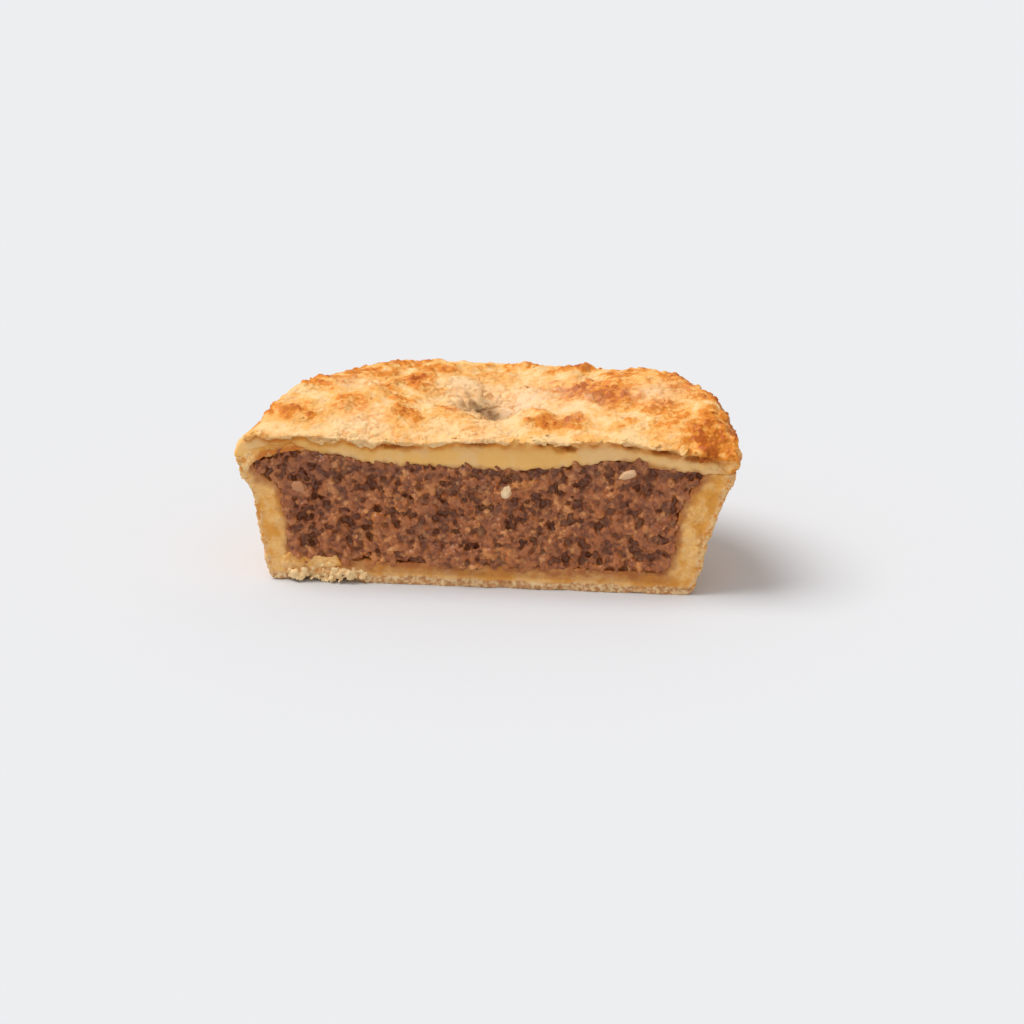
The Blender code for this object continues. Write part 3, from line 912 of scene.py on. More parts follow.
def lid_material(colours):
    """Pale skin, golden and orange-brown baked patches, floury places, and the smooth cut pastry, with
    painted shade in the vent's depth, under the skin's torn edge and in its gaps, and darker orange creases
    that are partly painted shade.
    """
    material, tree, shader, place = new_material("baked_lid")
    blobs = speckles(tree, place, 2.6 * MM, 0.7 * MM)
    wide = speckles(tree, place, 9 * MM, 2.2 * MM)
    tears = fine_tears(tree, place)
    browned = mask(tree, "browned")
    patchy = times(tree, sums(tree, "SUBTRACT", blobs["Blotches"], 0.5), sums(tree, "ADD", browned, 0.35))
    heat = sums(tree, "ADD", patchy, browned)
    heat = swayed(tree, heat, wide["Blotches"], 0.4, 0.6)
    heat = swayed(tree, heat, mask(tree, "rise"), 0.25, 0.6)
    skin = mixed(tree, ramp_between(tree, heat, -0.15, 0.4), colours.cream, colours.golden)
    skin = mixed(tree, ramp_between(tree, heat, 0.46, 0.72), skin, colours.orange)
    skin = mixed(tree, ramp_between(tree, heat, 0.85, 1.45), skin, colours.brown)
    dusty = ramp_between(tree, wide["Specks"], 0.1, 0.8, 0.4, 0.95)
    skin = masked(tree, skin, "floury", dusty, colours.floury)
    # The creases and pits are darker orange: partly baked colour, partly painted shade.
    skin = masked(tree, skin, "crack", 0.5, colours.orange)
    skin = mixed(tree, times(tree, tears, 0.3), skin, colours.orange)
    butter = ramp_between(tree, wide["Blotches"], 0.25, 0.8, 0.0, 0.65)
    inside = mixed(tree, butter, colours.soft_pastry, colours.cream)
    # Painted shade under the skin's torn edge and in the gaps below it.
    inside = masked(tree, inside, "shade", 0.6, colours.yellow_pastry)
    inside = masked(tree, inside, "moist", 0.75, colours.moist_pastry)
    inside = masked(tree, inside, "amber", 1.0, colours.amber)
    colour = mixed(tree, mask(tree, "inside"), skin, inside)
    # Painted shade in the depth of the vent, a little broken by specks.
    shadow = ramp_between(tree, blobs["Specks"], 0.0, 1.0, 1.0, 0.85)
    colour = masked(tree, colour, "vent", shadow, colours.pit)
    tree.links.new(colour, shader.inputs["Base Color"])
    tree.links.new(ramp_between(tree, heat, 0.1, 0.9, 0.6, 0.38), shader.inputs["Roughness"])
    shader.inputs["Specular IOR Level"].default_value = 0.22
    shader.inputs["Subsurface Weight"].default_value = 0.25
    shader.inputs["Subsurface Radius"].default_value = (1.0, 0.55, 0.25)
    shader.inputs["Subsurface Scale"].default_value = 0.9 * MM
    bumped(tree, shader, sums(tree, "MULTIPLY_ADD", tears, -0.5, blobs["Height"]), 0.2 * MM)
    return material


def fine_tears(tree, place):
    """Short curved lines where the baked skin tore, from 0 to 1."""
    noises = {"Vector": place, "Scale": 1 / (2.4 * MM), "Detail": 2.5, "Roughness": 0.6, "Distortion": 0.9}
    line = sums(tree, "SUBTRACT", put(tree, "ShaderNodeTexNoise", noises).outputs[0], 0.5)
    line = ramp_between(tree, sums(tree, "ABSOLUTE", line), 0.0, 0.028, 1.0, 0.0)
    patches = {"Vector": place, "Scale": 1 / (5 * MM), "Detail": 1.0}
    where = put(tree, "ShaderNodeTexNoise", patches).outputs[0]
    on_the_skin = ramp_between(tree, mask(tree, "inside"), 0.0, 0.3, 1.0, 0.0)
    return times(tree, line, times(tree, ramp_between(tree, where, 0.46, 0.6), on_the_skin))


def case_material(colours):
    """Golden outside, smooth soft pastry at the cut, moist next to the filling, crumbly at the foot."""
    material, tree, shader, place = new_material("baked_case")
    speckle = speckles(tree, place, 3.0 * MM, 0.6 * MM)
    wide = speckles(tree, place, 8 * MM, 1.8 * MM)
    pebbles = speckles(tree, place, 2.6 * MM, 1.2 * MM)
    outside = mixed(tree, ramp_between(tree, wide["Blotches"], 0.35, 0.9), colours.golden, colours.orange)
    outside = mixed(tree, times(tree, speckle["Blotches"], 0.7), outside, colours.cream)
    soft = mixed(tree, times(tree, wide["Specks"], 0.5), colours.soft_pastry, colours.cream)
    butter = ramp_between(tree, wide["Blotches"], 0.25, 0.85, 0.0, 0.95)
    soft = mixed(tree, butter, soft, colours.yellow_pastry)
    warm = ramp_between(tree, speckle["Specks"], 0.55, 1.0, 0.0, 0.35)
    soft = mixed(tree, warm, soft, colours.orange)
    damp = ramp_between(tree, speckle["Blotches"], 0.1, 0.9, 0.7, 1.0)
    soft = masked(tree, soft, "moist", damp, colours.moist_pastry)
    pale = ramp_between(tree, pebbles["Specks"], 0.0, 1.0, 0.15, 0.85)
    soft = masked(tree, soft, "crumbly", 0.85, mixed(tree, pale, colours.moist_pastry, colours.crumb))
    tips = mixed(tree, ramp_between(tree, pebbles["Specks"], 0.55, 1.0), colours.cream, colours.orange)
    soft = masked(tree, soft, "edge", 0.75, tips)
    colour = mixed(tree, mask(tree, "inside"), outside, soft)
    # The case's creases and pits are darker orange: partly baked colour, partly painted shade.
    colour = masked(tree, colour, "crack", 0.6, colours.orange)
    colour = masked(tree, colour, "amber", 1.0, colours.amber)
    blotted = ramp_between(tree, wide["Specks"], 0.2, 0.8, 0.5, 0.9)
    colour = masked(tree, colour, "stain", blotted, colours.moist_pastry)
    tree.links.new(colour, shader.inputs["Base Color"])
    tree.links.new(ramp_between(tree, mask(tree, "moist"), 0.0, 1.0, 0.58, 0.4), shader.inputs["Roughness"])
    shader.inputs["Specular IOR Level"].default_value = 0.35
    shader.inputs["Subsurface Weight"].default_value = 0.2
    shader.inputs["Subsurface Radius"].default_value = (1.0, 0.6, 0.3)
    shader.inputs["Subsurface Scale"].default_value = 1.5 * MM
    uneven = sums(tree, "MULTIPLY_ADD", mask(tree, "edge"), 1.6, 0.7)
    bumped(tree, shader, times(tree, speckle["Height"], uneven), 0.16 * MM)
    return material


def meat_material(colours):
    """Minced pieces from dark brown to pale and orange, with painted shade in the gaps and under the lid, and
    a moist gloss.
    """
    material, tree, shader, place = new_material("minced_meat")
    speckle = speckles(tree, place, 1.3 * MM, 0.35 * MM)
    wide = speckles(tree, place, 9 * MM, 3.0 * MM)
    tone = swayed(tree, 0.5, mask(tree, "tone"), 0.5, 0.62)
    tone = swayed(tree, tone, speckle["Blotches"], 0.5, 0.35)
    tone = swayed(tree, tone, wide["Blotches"], 0.5, 0.3)
    flesh = mixed(tree, ramp_between(tree, tone, 0.0, 0.5), colours.meat_brown, colours.meat)
    flesh = mixed(tree, ramp_between(tree, tone, 0.55, 1.05), flesh, colours.meat_light)
    fatty = ramp_between(tree, wide["Blotches"], 0.55, 0.9)
    tinted = times(tree, fatty, ramp_between(tree, tone, 0.3, 0.8))
    flesh = mixed(tree, times(tree, tinted, 0.45), flesh, colours.meat_orange)
    # Painted shade in the gaps between the pieces and under the lid.
    flesh = masked(tree, flesh, "deep", 0.68, colours.meat_dark)
    flesh = masked(tree, flesh, "amber", 1.0, colours.amber)
    tree.links.new(flesh, shader.inputs["Base Color"])
    gloss = ramp_between(tree, speckle["Specks"], 0.0, 1.0, 0.26, 0.55)
    tree.links.new(gloss, shader.inputs["Roughness"])
    shader.inputs["Specular IOR Level"].default_value = 0.3
    shader.inputs["Coat Weight"].default_value = 0.5
    shader.inputs["Coat Roughness"].default_value = 0.12
    shader.inputs["Subsurface Weight"].default_value = 0.12
    shader.inputs["Subsurface Radius"].default_value = (1.0, 0.4, 0.2)
    shader.inputs["Subsurface Scale"].default_value = 0.8 * MM
    bumped(tree, shader, speckle["Height"], 0.14 * MM)
    return material


def crumb_material(colours):
    """Dry pale crumb, a little warmer in places."""
    material, tree, shader, place = new_material("pale_crumb")
    speckle = speckles(tree, place, 1.5 * MM, 0.35 * MM)
    tint = mixed(tree, mask(tree, "tone"), colours.crumb, colours.cream)
    tint = mixed(tree, times(tree, speckle["Blotches"], 0.15), tint, colours.soft_pastry)
    tree.links.new(tint, shader.inputs["Base Color"])
    shader.inputs["Roughness"].default_value = 0.75
    shader.inputs["Specular IOR Level"].default_value = 0.25
    bumped(tree, shader, speckle["Height"], 0.15 * MM)
    return material


def fat_material(colours):
    """Pale translucent onion and fat, some of it stained like the meat."""
    material, tree, shader, place = new_material("pale_fat")
    speckle = speckles(tree, place, 1.2 * MM, 0.3 * MM)
    tint = mixed(tree, times(tree, speckle["Blotches"], 0.35), colours.fat, colours.meat_light)
    tint = masked(tree, tint, "tone", 1.0, colours.meat)
    tree.links.new(tint, shader.inputs["Base Color"])
    shader.inputs["Roughness"].default_value = 0.35
    shader.inputs["Subsurface Weight"].default_value = 0.3
    shader.inputs["Subsurface Radius"].default_value = (1.0, 0.7, 0.5)
    shader.inputs["Subsurface Scale"].default_value = 1.0 * MM
    bumped(tree, shader, speckle["Height"], 0.05 * MM)
    return material


# Operators: one for each piece.


class PIE_OT_lid(bpy.types.Operator):
    """Makes the baked lid with its blisters, flakes, vent and torn edge at the cut"""

    bl_idname = "pie.make_lid"
    bl_label = "Lid"

    def execute(self, context):
        sizes = context.scene.pie_sizes
        lid = thinned_below(remeshed(welded_copy(LID_NODE, "crust_lid"), sizes.lid_grid))
        places, normals = places_and_normals(lid)
        facing_up = smooth((normals[:, 2] + 0.1) / 0.5)
        well_behind = smooth((places[:, 1] - CUT_Y - 6 * MM) / (4 * MM))
        moved = forms(places, VENT_FORMS)
        places[:, 2] += moved * np.maximum(facing_up, well_behind * (moved < 0))
        shape_lid_cut(lid, places, normals)
        paint_baked(lid, places)
        baked = spots(places, BROWNED_SPOTS) + 0.3 * waves(places, 5 * MM, 71)
        blistered = 0.2 + 0.95 * smooth((baked - 0.15) / 0.6) - 0.15 * spots(places, FLOURY_SPOTS)
        paint(lid, "blistered", np.clip(blistered, 0, 1.1))
        material = lid_material(context.scene.pie_colours)
        applied_nodes(
            lid,
            crust_relief,
            {
                "Swell Size": 7.5 * MM,
                "Swell Height": sizes.swell_height,
                "Blister Size": 4.4 * MM,
                "Blister Height": sizes.blister_height,
                "Flake Size": 4.0 * MM,
                "Flake Height": sizes.flake_height,
                "Grain Size": 1.1 * MM,
                "Grain Height": sizes.grain_height,
                "Pit Depth": 0.4 * MM,
                "Material": material,
            },
        )
        finished_piece(lid, LID_NODE, material)
        return {"FINISHED"}


def thinned_below(lid):
    """The lid with fewer faces on its underside, except under the vent and along the rim."""
    places, normals = places_and_normals(lid)
    under = (normals[:, 2] < -0.4) & (places[:, 1] > CUT_Y + 2 * MM)
    near_vent = np.hypot(places[:, 0] - MIDDLE_X, places[:, 1] - CUT_Y - VENT_BEHIND) < VENT_REACH
    inner = np.hypot(places[:, 0], places[:, 1] - CUT_Y) < 60 * MM
    return thinned(lid, under & inner & ~near_vent, 0.66)


def shape_lid_cut(lid, places, normals):
    """Shapes the skin's torn edge at the cut, the gaps and the ragged lower edge, and paints their masks.

    Above the seam the cut shows the skin, whose edge stands out as a skirt, and below it the smooth layer.
    """
    across, height = on_the_cut(places)
    line = places * (1, 0, 0)
    seam = eased(SKIN_EDGE, (across / HALF_CUT + 1) / 2)
    seam = seam + 1.4 * waves(line, 5 * MM, 5) + 1.1 * waves(line, 1.9 * MM, 9)
    front = smooth((CUT_Y + 2.2 * MM - places[:, 1]) / (0.6 * MM)) * smooth((-normals[:, 1] + 0.15) / 0.5)
    below = smooth((seam - height) / 0.5)
    ends = smooth((63 - across) / 4)
    inside = front * below * ends
    skirt = front * (1 - below) * smooth((seam + 1.8 - height) / 1.6) * ends
    groove = inside * smooth((height - seam + 1.5) / 1.0)
    places[:, 1] += (-0.8 * skirt + 0.8 * groove) * MM
    gaps = gap_depths(across, height, line)
    places[:, 1] += gaps * front * MM
    near_cut = places[:, 1] < CUT_Y + 2.6 * MM
    to_filling = distances(places, near_cut & (height < seam + 1), filling_tree())
    hanging = smooth((2.4 - to_filling) / 1.6) * smooth((CUT_Y + 2.4 * MM - places[:, 1]) / (1.2 * MM))
    drop = 0.45 + 0.9 * waves(line, 3.4 * MM, 81) + 0.7 * waves(line, 1.4 * MM, 83)
    places[:, 2] -= 0.8 * hanging * np.clip(drop, -0.3, 1.5) * (np.abs(across) < 58) * MM
    move_points(lid, places)
    inside = np.maximum(inside, front * (gaps > 0.1))
    ragged = 0.7 * waves(places, 1.8 * MM, 41)
    paint(lid, "inside", inside)
    # The shade mask is painted shade under the skin's torn edge and in the gaps.
    paint(lid, "shade", np.clip(inside * (smooth((height - seam + 2.6) / 2.4) + gaps), 0, 1))
    # Moist where the pastry meets the filling, and the deepest gaps darker as painted shade.
    paint(lid, "moist", np.clip(smooth((1.9 - to_filling + ragged) / 1.6) + 0.8 * (gaps > 0.5), 0, 1))
    paint(lid, "amber", inside * at_the_cut(places, AMBER_SPOTS))
    rough = 1 + 0.5 * spots(places, FLOURY_SPOTS) + 0.5 * skirt
    torn = inside * np.maximum(smooth((1.6 - to_filling) / 1.2), smooth((np.abs(across) - 50) / 6))
    crag = np.clip(rough - 0.8 * inside + 0.6 * torn, 0.1, 2)
    paint(lid, "crag", crag * smooth((normals[:, 2] + 0.9) / 0.5))
    paint(lid, "flaky", (normals[:, 2] > 0.2) * (0.35 + 0.3 * skirt) + (skirt > 0.4) * 0.25)


def gap_depths(across, height, line):
    """How deep the gaps between the skin and the layer below it are at each place, in millimetres."""
    gaps = np.zeros(len(across))
    for middle, level, half_width, half_height, depth in SKIN_GAPS:
        wavy = height - level + 0.5 * waves(line, 3 * MM, 21)
        away = ((across - middle) / half_width) ** 2 + (wavy / half_height) ** 2
        gaps = np.maximum(gaps, depth * (1 - np.clip(away, 0, 1)))
    return gaps


def filling_tree():
    """A search tree over the whole surface of the filling's solid."""
    return surface_tree(FILLING_NODE, lambda centre, normal: True)


def paint_baked(thing, places):
    """Paints where the lid is browned or floury, and the painted shade in the depth of the vent."""
    to_the_right = 0.08 * smooth(((places[:, 0] - MIDDLE_X) / MM - 15) / 30)
    paint(thing, "browned", spots(places, BROWNED_SPOTS) + to_the_right)
    paint(thing, "floury", spots(places, FLOURY_SPOTS))
    paint(thing, "vent", spots(places, VENT))


class PIE_OT_flakes(bpy.types.Operator):
    """Strews thin loose flakes over the lid and along its torn edge"""

    bl_idname = "pie.make_flakes"
    bl_label = "Flakes"

    def execute(self, context):
        lid = bpy.data.objects["crust_lid"]
        material = lid.data.materials[0]
        flakes = object_from("lid_flakes", lid.data.copy())
        applied_nodes(
            flakes,
            strewn_flakes,
            {
                "Spacing": 1.3 * MM,
                "Smallest": 0.35 * MM,
                "Largest": 1.5 * MM,
                "Thickness": 0.2 * MM,
                "Seed": 7,
                "Material": material,
            },
        )
        places, _ = places_and_normals(flakes)
        paint_baked(flakes, places)
        paint(flakes, "rise", np.full(len(places), 0.3))
        finished_piece(flakes, None, material)
        flakes.data.shade_flat()
        return {"FINISHED"}


class PIE_OT_case(bpy.types.Operator):
    """Makes the pastry case with its crumbly outside and smooth cut"""

    bl_idname = "pie.make_case"
    bl_label = "Case"

    def execute(self, context):
        case = remeshed(welded_copy(CASE_NODE, "crust_case"), context.scene.pie_sizes.case_grid)
        places, normals = places_and_normals(case)
        behind = (places[:, 1] > CUT_Y + 2 * MM) & (places[:, 2] < 33 * MM)
        hidden = facing_in(places, normals) | (np.abs(normals[:, 2]) > 0.8)
        case = thinned(case, behind & hidden, 0.5)
        places, normals = places_and_normals(case)
        across, height = on_the_cut(places)
        ends = np.maximum(smooth((22 - across) / 10), smooth((across - 50) / 4))
        places[:, 2] += 0.5 * smooth((height - 32.0) / 1.2) * ends * MM
        paint_case(case, places, normals, across, height)
        move_points(case, places)
        material = case_material(context.scene.pie_colours)
        applied_nodes(
            case,
            crust_relief,
            {
                "Swell Size": 5.0 * MM,
                "Swell Height": 0.3 * MM,
                "Blister Size": 3.4 * MM,
                "Blister Height": 0.42 * MM,
                "Flake Size": 2.4 * MM,
                "Flake Height": 0.3 * MM,
                "Grain Size": 1.0 * MM,
                "Grain Height": 0.27 * MM,
                "Pit Depth": 0.8 * MM,
                "Material": material,
            },
        )
        finished_piece(case, CASE_NODE, material)
        return {"FINISHED"}


def paint_case(case, places, normals, across, height):
    """Paints the cut of the case: its crumbly edge and foot, where it is moist, stained or baked dark."""
    front = smooth((CUT_Y + 1.2 * MM - places[:, 1]) / (0.8 * MM)) * smooth((-normals[:, 1] - 0.1) / 0.5)
    depth = distances(places, front > 0.02, surface_tree(CASE_NODE, faces_out))
    to_filling = distances(places, front > 0.02, filling_tree())
    edge = smooth((2.2 - depth + 1.1 * waves(places, 2.2 * MM, 3)) / 1.5)
    crumbly = smooth((2.7 - height + 0.7 * waves(places, 3 * MM, 8)) / 0.8)
    ragged = 0.9 * waves(places, 1.8 * MM, 41) + 0.5 * waves(places, 5 * MM, 43)
    moist = 0.97 * smooth((3.5 - to_filling + 1.3 * ragged) / 2.4)
    under = smooth((6.6 - height) / 1.5) * smooth((52 - np.abs(across)) / 6)
    moist = np.maximum(moist, 0.62 * under * smooth((height - 2.2) / 1.5))
    bubbly = front * smooth((across - 46) / 4) * smooth((height - 4) / 4)
    lining = (1 - front) * (facing_in(places, normals) | ((normals[:, 2] > 0.4) & (height < 12)))
    paint(case, "inside", np.maximum(front, lining))
    paint(case, "edge", edge * (1 - crumbly) * front)
    paint(case, "moist", np.maximum(moist * front, lining))
    paint(case, "crumbly", crumbly * front)
    paint(case, "stain", front * at_the_cut(places, STAINED_SPOTS))
    paint(case, "amber", front * at_the_cut(places, AMBER_SPOTS))
    uneven = np.maximum.reduce([np.full(len(places), 0.4), 1.1 * edge, 1.1 * crumbly, 0.95 * bubbly])
    paint(case, "blistered", np.maximum(1 - front, 0.6 + 0.4 * bubbly))
    paint(case, "crag", (1 - front + front * uneven) * smooth((normals[:, 2] + 0.8) / 0.3))


def facing_in(places, normals):
    """Which places of the case face the middle of the pie."""
    return (places[:, 0] - MIDDLE_X) * normals[:, 0] + (places[:, 1] - CUT_Y) * normals[:, 1] < 0


def faces_out(centre, normal):
    """Whether a face of the case belongs to its outside or its underside, and not to its cut."""
    outwards = (centre.x - MIDDLE_X) * normal.x + (centre.y - CUT_Y) * normal.y
    return normal.y > -0.7 and (outwards > 0.2 * abs(centre.x) or normal.z < -0.7)


class PIE_OT_filling(bpy.types.Operator):
    """Makes the minced filling: a core, and a cut face of fused minced pieces"""

    bl_idname = "pie.make_filling"
    bl_label = "Filling"

    def execute(self, context):
        sizes = context.scene.pie_sizes
        material = meat_material(context.scene.pie_colours)
        core = welded_copy(FILLING_NODE, "filling_core")
        slab = welded_copy(FILLING_NODE, "filling_minced")
        keep_part(slab, CUT_Y + SLAB_DEPTH, True)
        keep_part(core, CUT_Y + CORE_START, False)
        grow_sideways(slab, 1.0 * MM)
        heave(slab)
        face = cut_face_of(slab, "minced_face")
        applied_nodes(
            face,
            scattered_lumps,
            {
                "Spacing": sizes.piece_spacing,
                "Smallest": sizes.smallest_piece,
                "Largest": sizes.largest_piece,
                "Skew": 1.9,
                "Sink": 0.5 * MM,
                "Roughness": 0.09,
                "Seed": 4,
                "Material": material,
            },
        )
        nearest_tone = tone_finder(face)
        join_into(slab, face)
        remeshed(slab, sizes.meat_grid)
        melted(slab, 0.5, 1)
        places, _ = places_and_normals(slab)
        thinned(slab, places[:, 1] > CUT_Y + 2.2 * MM, 0.6)
        places, _ = places_and_normals(slab)
        paint(slab, "tone", [nearest_tone(place) for place in places])
        paint(slab, "crag", smooth((CUT_Y + 2.4 * MM - places[:, 1]) / (1.0 * MM)))
        applied_nodes(
            slab,
            berry_relief,
            {
                "Bump Size": 1.0 * MM,
                "Bump Height": 0.4 * MM,
                "Clump Size": 4.6 * MM,
                "Gap Depth": 0.3 * MM,
                "Material": material,
            },
        )
        paint_meat(slab)
        # The hidden core gets an even tone, a little painted shade and no amber.
        for name, value in (("tone", 0.4), ("deep", 0.2), ("amber", 0.0)):
            paint(core, name, np.full(len(core.data.vertices), value))
        join_into(slab, core)
        finished_piece(slab, FILLING_NODE, material)
        return {"FINISHED"}


def tone_finder(face):
    """A function that gives the tone of the minced piece nearest to a place."""
    surface = BVHTree.FromObject(face, bpy.context.evaluated_depsgraph_get())
    layer = face.data.attributes["tone"]
    tones = np.empty(len(layer.data))
    layer.data.foreach_get("value", tones)
    first_corner = [polygon.vertices[0] for polygon in face.data.polygons]
    return lambda place: tones[first_corner[surface.find_nearest(place)[2]]]


def paint_meat(slab):
    """Paints painted shade where the cut meat lies deep and near its top under the lid, and the pastry that
    shows past its upper left tip.
    """
    places, _ = places_and_normals(slab)
    across, height = on_the_cut(places)
    above_tip = smooth((height - 32.5 - 0.62 * (across + 62.0) + 0.6 * waves(places, 1.6 * MM, 51)) / 0.9)
    paint(slab, "amber", 0.7 * above_tip * smooth((-51.5 - across) / 2.0))
    # Painted shade: darker where the meat lies behind the surface round it, and near its top under the lid.
    fine, wide = hollowness(places, 0.9 * MM, 0.8 * MM), hollowness(places, 3.0 * MM, 2.2 * MM)
    deep = 0.7 * smooth((fine - 0.4) / 0.6) + 0.6 * smooth((wide - 0.52) / 0.45)
    paint(slab, "deep", np.clip(deep + 0.34 * smooth((height - 28) / 5), 0, 1))


class PIE_OT_onion(bpy.types.Operator):
    """Sets the pale pieces of onion and fat into the cut meat"""

    bl_idname = "pie.set_onion"
    bl_label = "Onion"

    def execute(self, context):
        meat = BVHTree.FromObject(bpy.data.objects["filling_minced"], bpy.context.evaluated_depsgraph_get())
        bm = bmesh.new()
        for across, height, half_width, half_height, half_depth, lean, tone in ONION_PIECES:
            start = Vector((MIDDLE_X + across * MM, CUT_Y - 20 * MM, height * MM))
            centre = meat.ray_cast(start, Vector((0, 1, 0)))[0] + Vector((0, 0.15 * MM, 0))
            made = bmesh.ops.create_icosphere(bm, subdivisions=4, radius=1.0)["verts"]
            turn = Matrix.Rotation(lean, 3, "Y")
            for vertex in made:
                uneven = 1 + 0.35 * noise.noise(vertex.co * 1.3 + Vector((across, 0, 0)))
                size = Vector((half_width, half_depth, half_height)) * MM * uneven
                vertex.co = centre + turn @ Vector(vertex.co[k] * size[k] for k in range(3))
        pieces = object_from("onion_pieces", mesh_from(bm, "onion_pieces"))
        points_each = len(pieces.data.vertices) // len(ONION_PIECES)
        paint(pieces, "tone", np.repeat([piece[-1] for piece in ONION_PIECES], points_each))
        finished_piece(pieces, None, fat_material(context.scene.pie_colours))
        return {"FINISHED"}


def melted(thing, factor, rounds):
    """Rounds the object's creases, as if its pieces had grown together."""
    soften = thing.modifiers.new("soften", "SMOOTH")
    soften.factor = factor
    soften.iterations = rounds
    return flattened(thing)


def grow_sideways(thing, reach):
    """Pushes the sides of a slab out, across the cut plane, so that it meets the pastry round it."""
    places, normals = places_and_normals(thing)
    aside = normals * (1, 0, 1)
    length = np.linalg.norm(aside, axis=1)
    side = length > 0.5
    places[side] += reach * aside[side] / length[side, None]
    move_points(thing, places)


def heave(thing):
    """Gives a cut face broad clumps and hollows."""
    places, _ = places_and_normals(thing)
    front = smooth((CUT_Y + 2.0 * MM - places[:, 1]) / MM)
    clumps = 1.3 * waves(places * (1, 0, 1.4), 8.5 * MM, 31) + 0.5 * waves(places * (1, 0, 1.2), 3.2 * MM, 33)
    shakes = np.column_stack([waves(places, 4 * MM, seed) for seed in (35, 37, 39)])
    shaken = places * (1, 0, 1.35) + 1.5 * MM * shakes
    nearest = np.array([noise.voronoi(Vector(place) / (5.5 * MM))[0][0] for place in shaken])
    clumps += 1.5 * (1 - np.clip(nearest / 0.6, 0, 1) ** 2)
    places[:, 1] -= front * (clumps - 0.8) * MM
    move_points(thing, places)


def hollowness(places, reach, full):
    """From 0 to 1, how far each place lies behind the average of the cut surface round it."""
    cell = 0.35 * MM
    column = np.round((places[:, 0] - places[:, 0].min()) / cell).astype(int)
    row = np.round((places[:, 2] - places[:, 2].min()) / cell).astype(int)
    front = np.full((column.max() + 1, row.max() + 1), np.inf)
    np.minimum.at(front, (column, row), places[:, 1])
    known = np.isfinite(front)
    depth, weight = np.where(known, front, 0.0), known.astype(float)
    for _ in range(3):
        depth, weight = (blurred(field, max(1, round(reach / cell))) for field in (depth, weight))
    average = depth / np.maximum(weight, 1e-6)
    behind = places[:, 1] - average[column, row]
    return smooth(0.5 + 0.5 * behind / full)


def blurred(field, half):
    """Box average over a square of cells."""
    for axis in (0, 1):
        pad = [(half + 1, half) if each == axis else (0, 0) for each in (0, 1)]
        run = np.cumsum(np.pad(field, pad), axis=axis)
        count = 2 * half + 1
        run = np.moveaxis(run, axis, 0)
        field = np.moveaxis((run[count:] - run[:-count]) / count, 0, axis)
    return field


def keep_part(thing, behind, front):
    """Cuts the object along a plane parallel to the cut face, keeps one side and closes it."""
    bm = bmesh.new()
    bm.from_mesh(thing.data)
    everything = bm.verts[:] + bm.edges[:] + bm.faces[:]
    bmesh.ops.bisect_plane(
        bm,
        geom=everything,
        plane_co=(0, behind, 0),
        plane_no=(0, 1, 0),
        clear_outer=front,
        clear_inner=not front,
    )
    open_edges = [edge for edge in bm.edges if edge.is_boundary]
    bmesh.ops.contextual_create(bm, geom=open_edges)
    bmesh.ops.triangulate(bm, faces=bm.faces[:])
    bmesh.ops.recalc_face_normals(bm, faces=bm.faces[:])
    bm.to_mesh(thing.data)
    bm.free()


def cut_face_of(thing, name):
    """An object with only the faces of the cut side."""
    bm = bmesh.new()
    bm.from_mesh(thing.data)
    away = []
    for face in bm.faces:
        middle = face.calc_center_median()
        if face.normal.y > -0.25 or middle.y > CUT_Y + 2.6 * MM or middle.x < MIDDLE_X - 60.3 * MM:
            away.append(face)
    bmesh.ops.delete(bm, geom=away, context="FACES")
    return object_from(name, mesh_from(bm, name))


def join_into(target, other):
    """Adds the other object's mesh to the target's, with its painted masks, and removes the other."""
    for each in bpy.context.selected_objects:
        each.select_set(False)
    for each in (target, other):
        each.select_set(True)
    bpy.context.view_layer.objects.active = target
    bpy.ops.object.join()


class PIE_OT_crumbs(bpy.types.Operator):
    """Makes the broken pale crumb at the left foot of the cut, and loose crumbs round it"""

    bl_idname = "pie.make_crumbs"
    bl_label = "Crumbs"

    def execute(self, context):
        sizes, colours = context.scene.pie_sizes, context.scene.pie_colours
        material = crumb_material(colours)
        crumbs = object_from("crumbs", broken_ledge())
        applied_nodes(
            crumbs,
            scattered_lumps,
            {
                "Spacing": 0.6 * MM,
                "Smallest": 0.5 * sizes.crumb_radius,
                "Largest": 1.5 * sizes.crumb_radius,
                "Skew": 1.3,
                "Sink": 0.5 * MM,
                "Roughness": 0.34,
                "Seed": 12,
                "Material": material,
            },
        )
        remeshed(crumbs, CRUMB_GRID)
        places, normals = places_and_normals(crumbs)
        uneven = 0.34 * MM * waves(places, 0.9 * MM, 3) + 0.2 * MM * waves(places, 0.45 * MM, 5)
        places += normals * uneven[:, None]
        places[:, 2] = np.maximum(places[:, 2], 0.05 * MM)
        move_points(crumbs, places)
        paint(crumbs, "tone", 0.5 + 0.5 * waves(places, 2.5 * MM, 7))
        finished_piece(crumbs, None, material)
        return {"FINISHED"}


def broken_ledge():
    """A wavy upright strip in front of the cut's left foot, on which the crumbs are strewn."""
    bed = bmesh.new()
    rows = []
    for i in range(LEDGE_STEPS + 1):
        along = i / LEDGE_STEPS
        x = MIDDLE_X + (LEDGE_LEFT + LEDGE_LENGTH * along) * MM
        low = (0.9 + 0.6 * math.sin(9 * along)) * MM
        high = (3.2 + 2.2 * math.sin(math.pi * along) * (0.65 + 0.35 * math.sin(14 * along + 1))) * MM
        forward = (1.2 + 0.7 * math.sin(11 * along)) * MM
        rows.append([bed.verts.new((x, CUT_Y - forward, z)) for z in (low, (low + high) / 2, high)])
    for left, right in zip(rows, rows[1:]):
        for k in range(2):
            bed.faces.new((left[k], right[k], right[k + 1], left[k + 1]))
    return mesh_from(bed, "ledge")


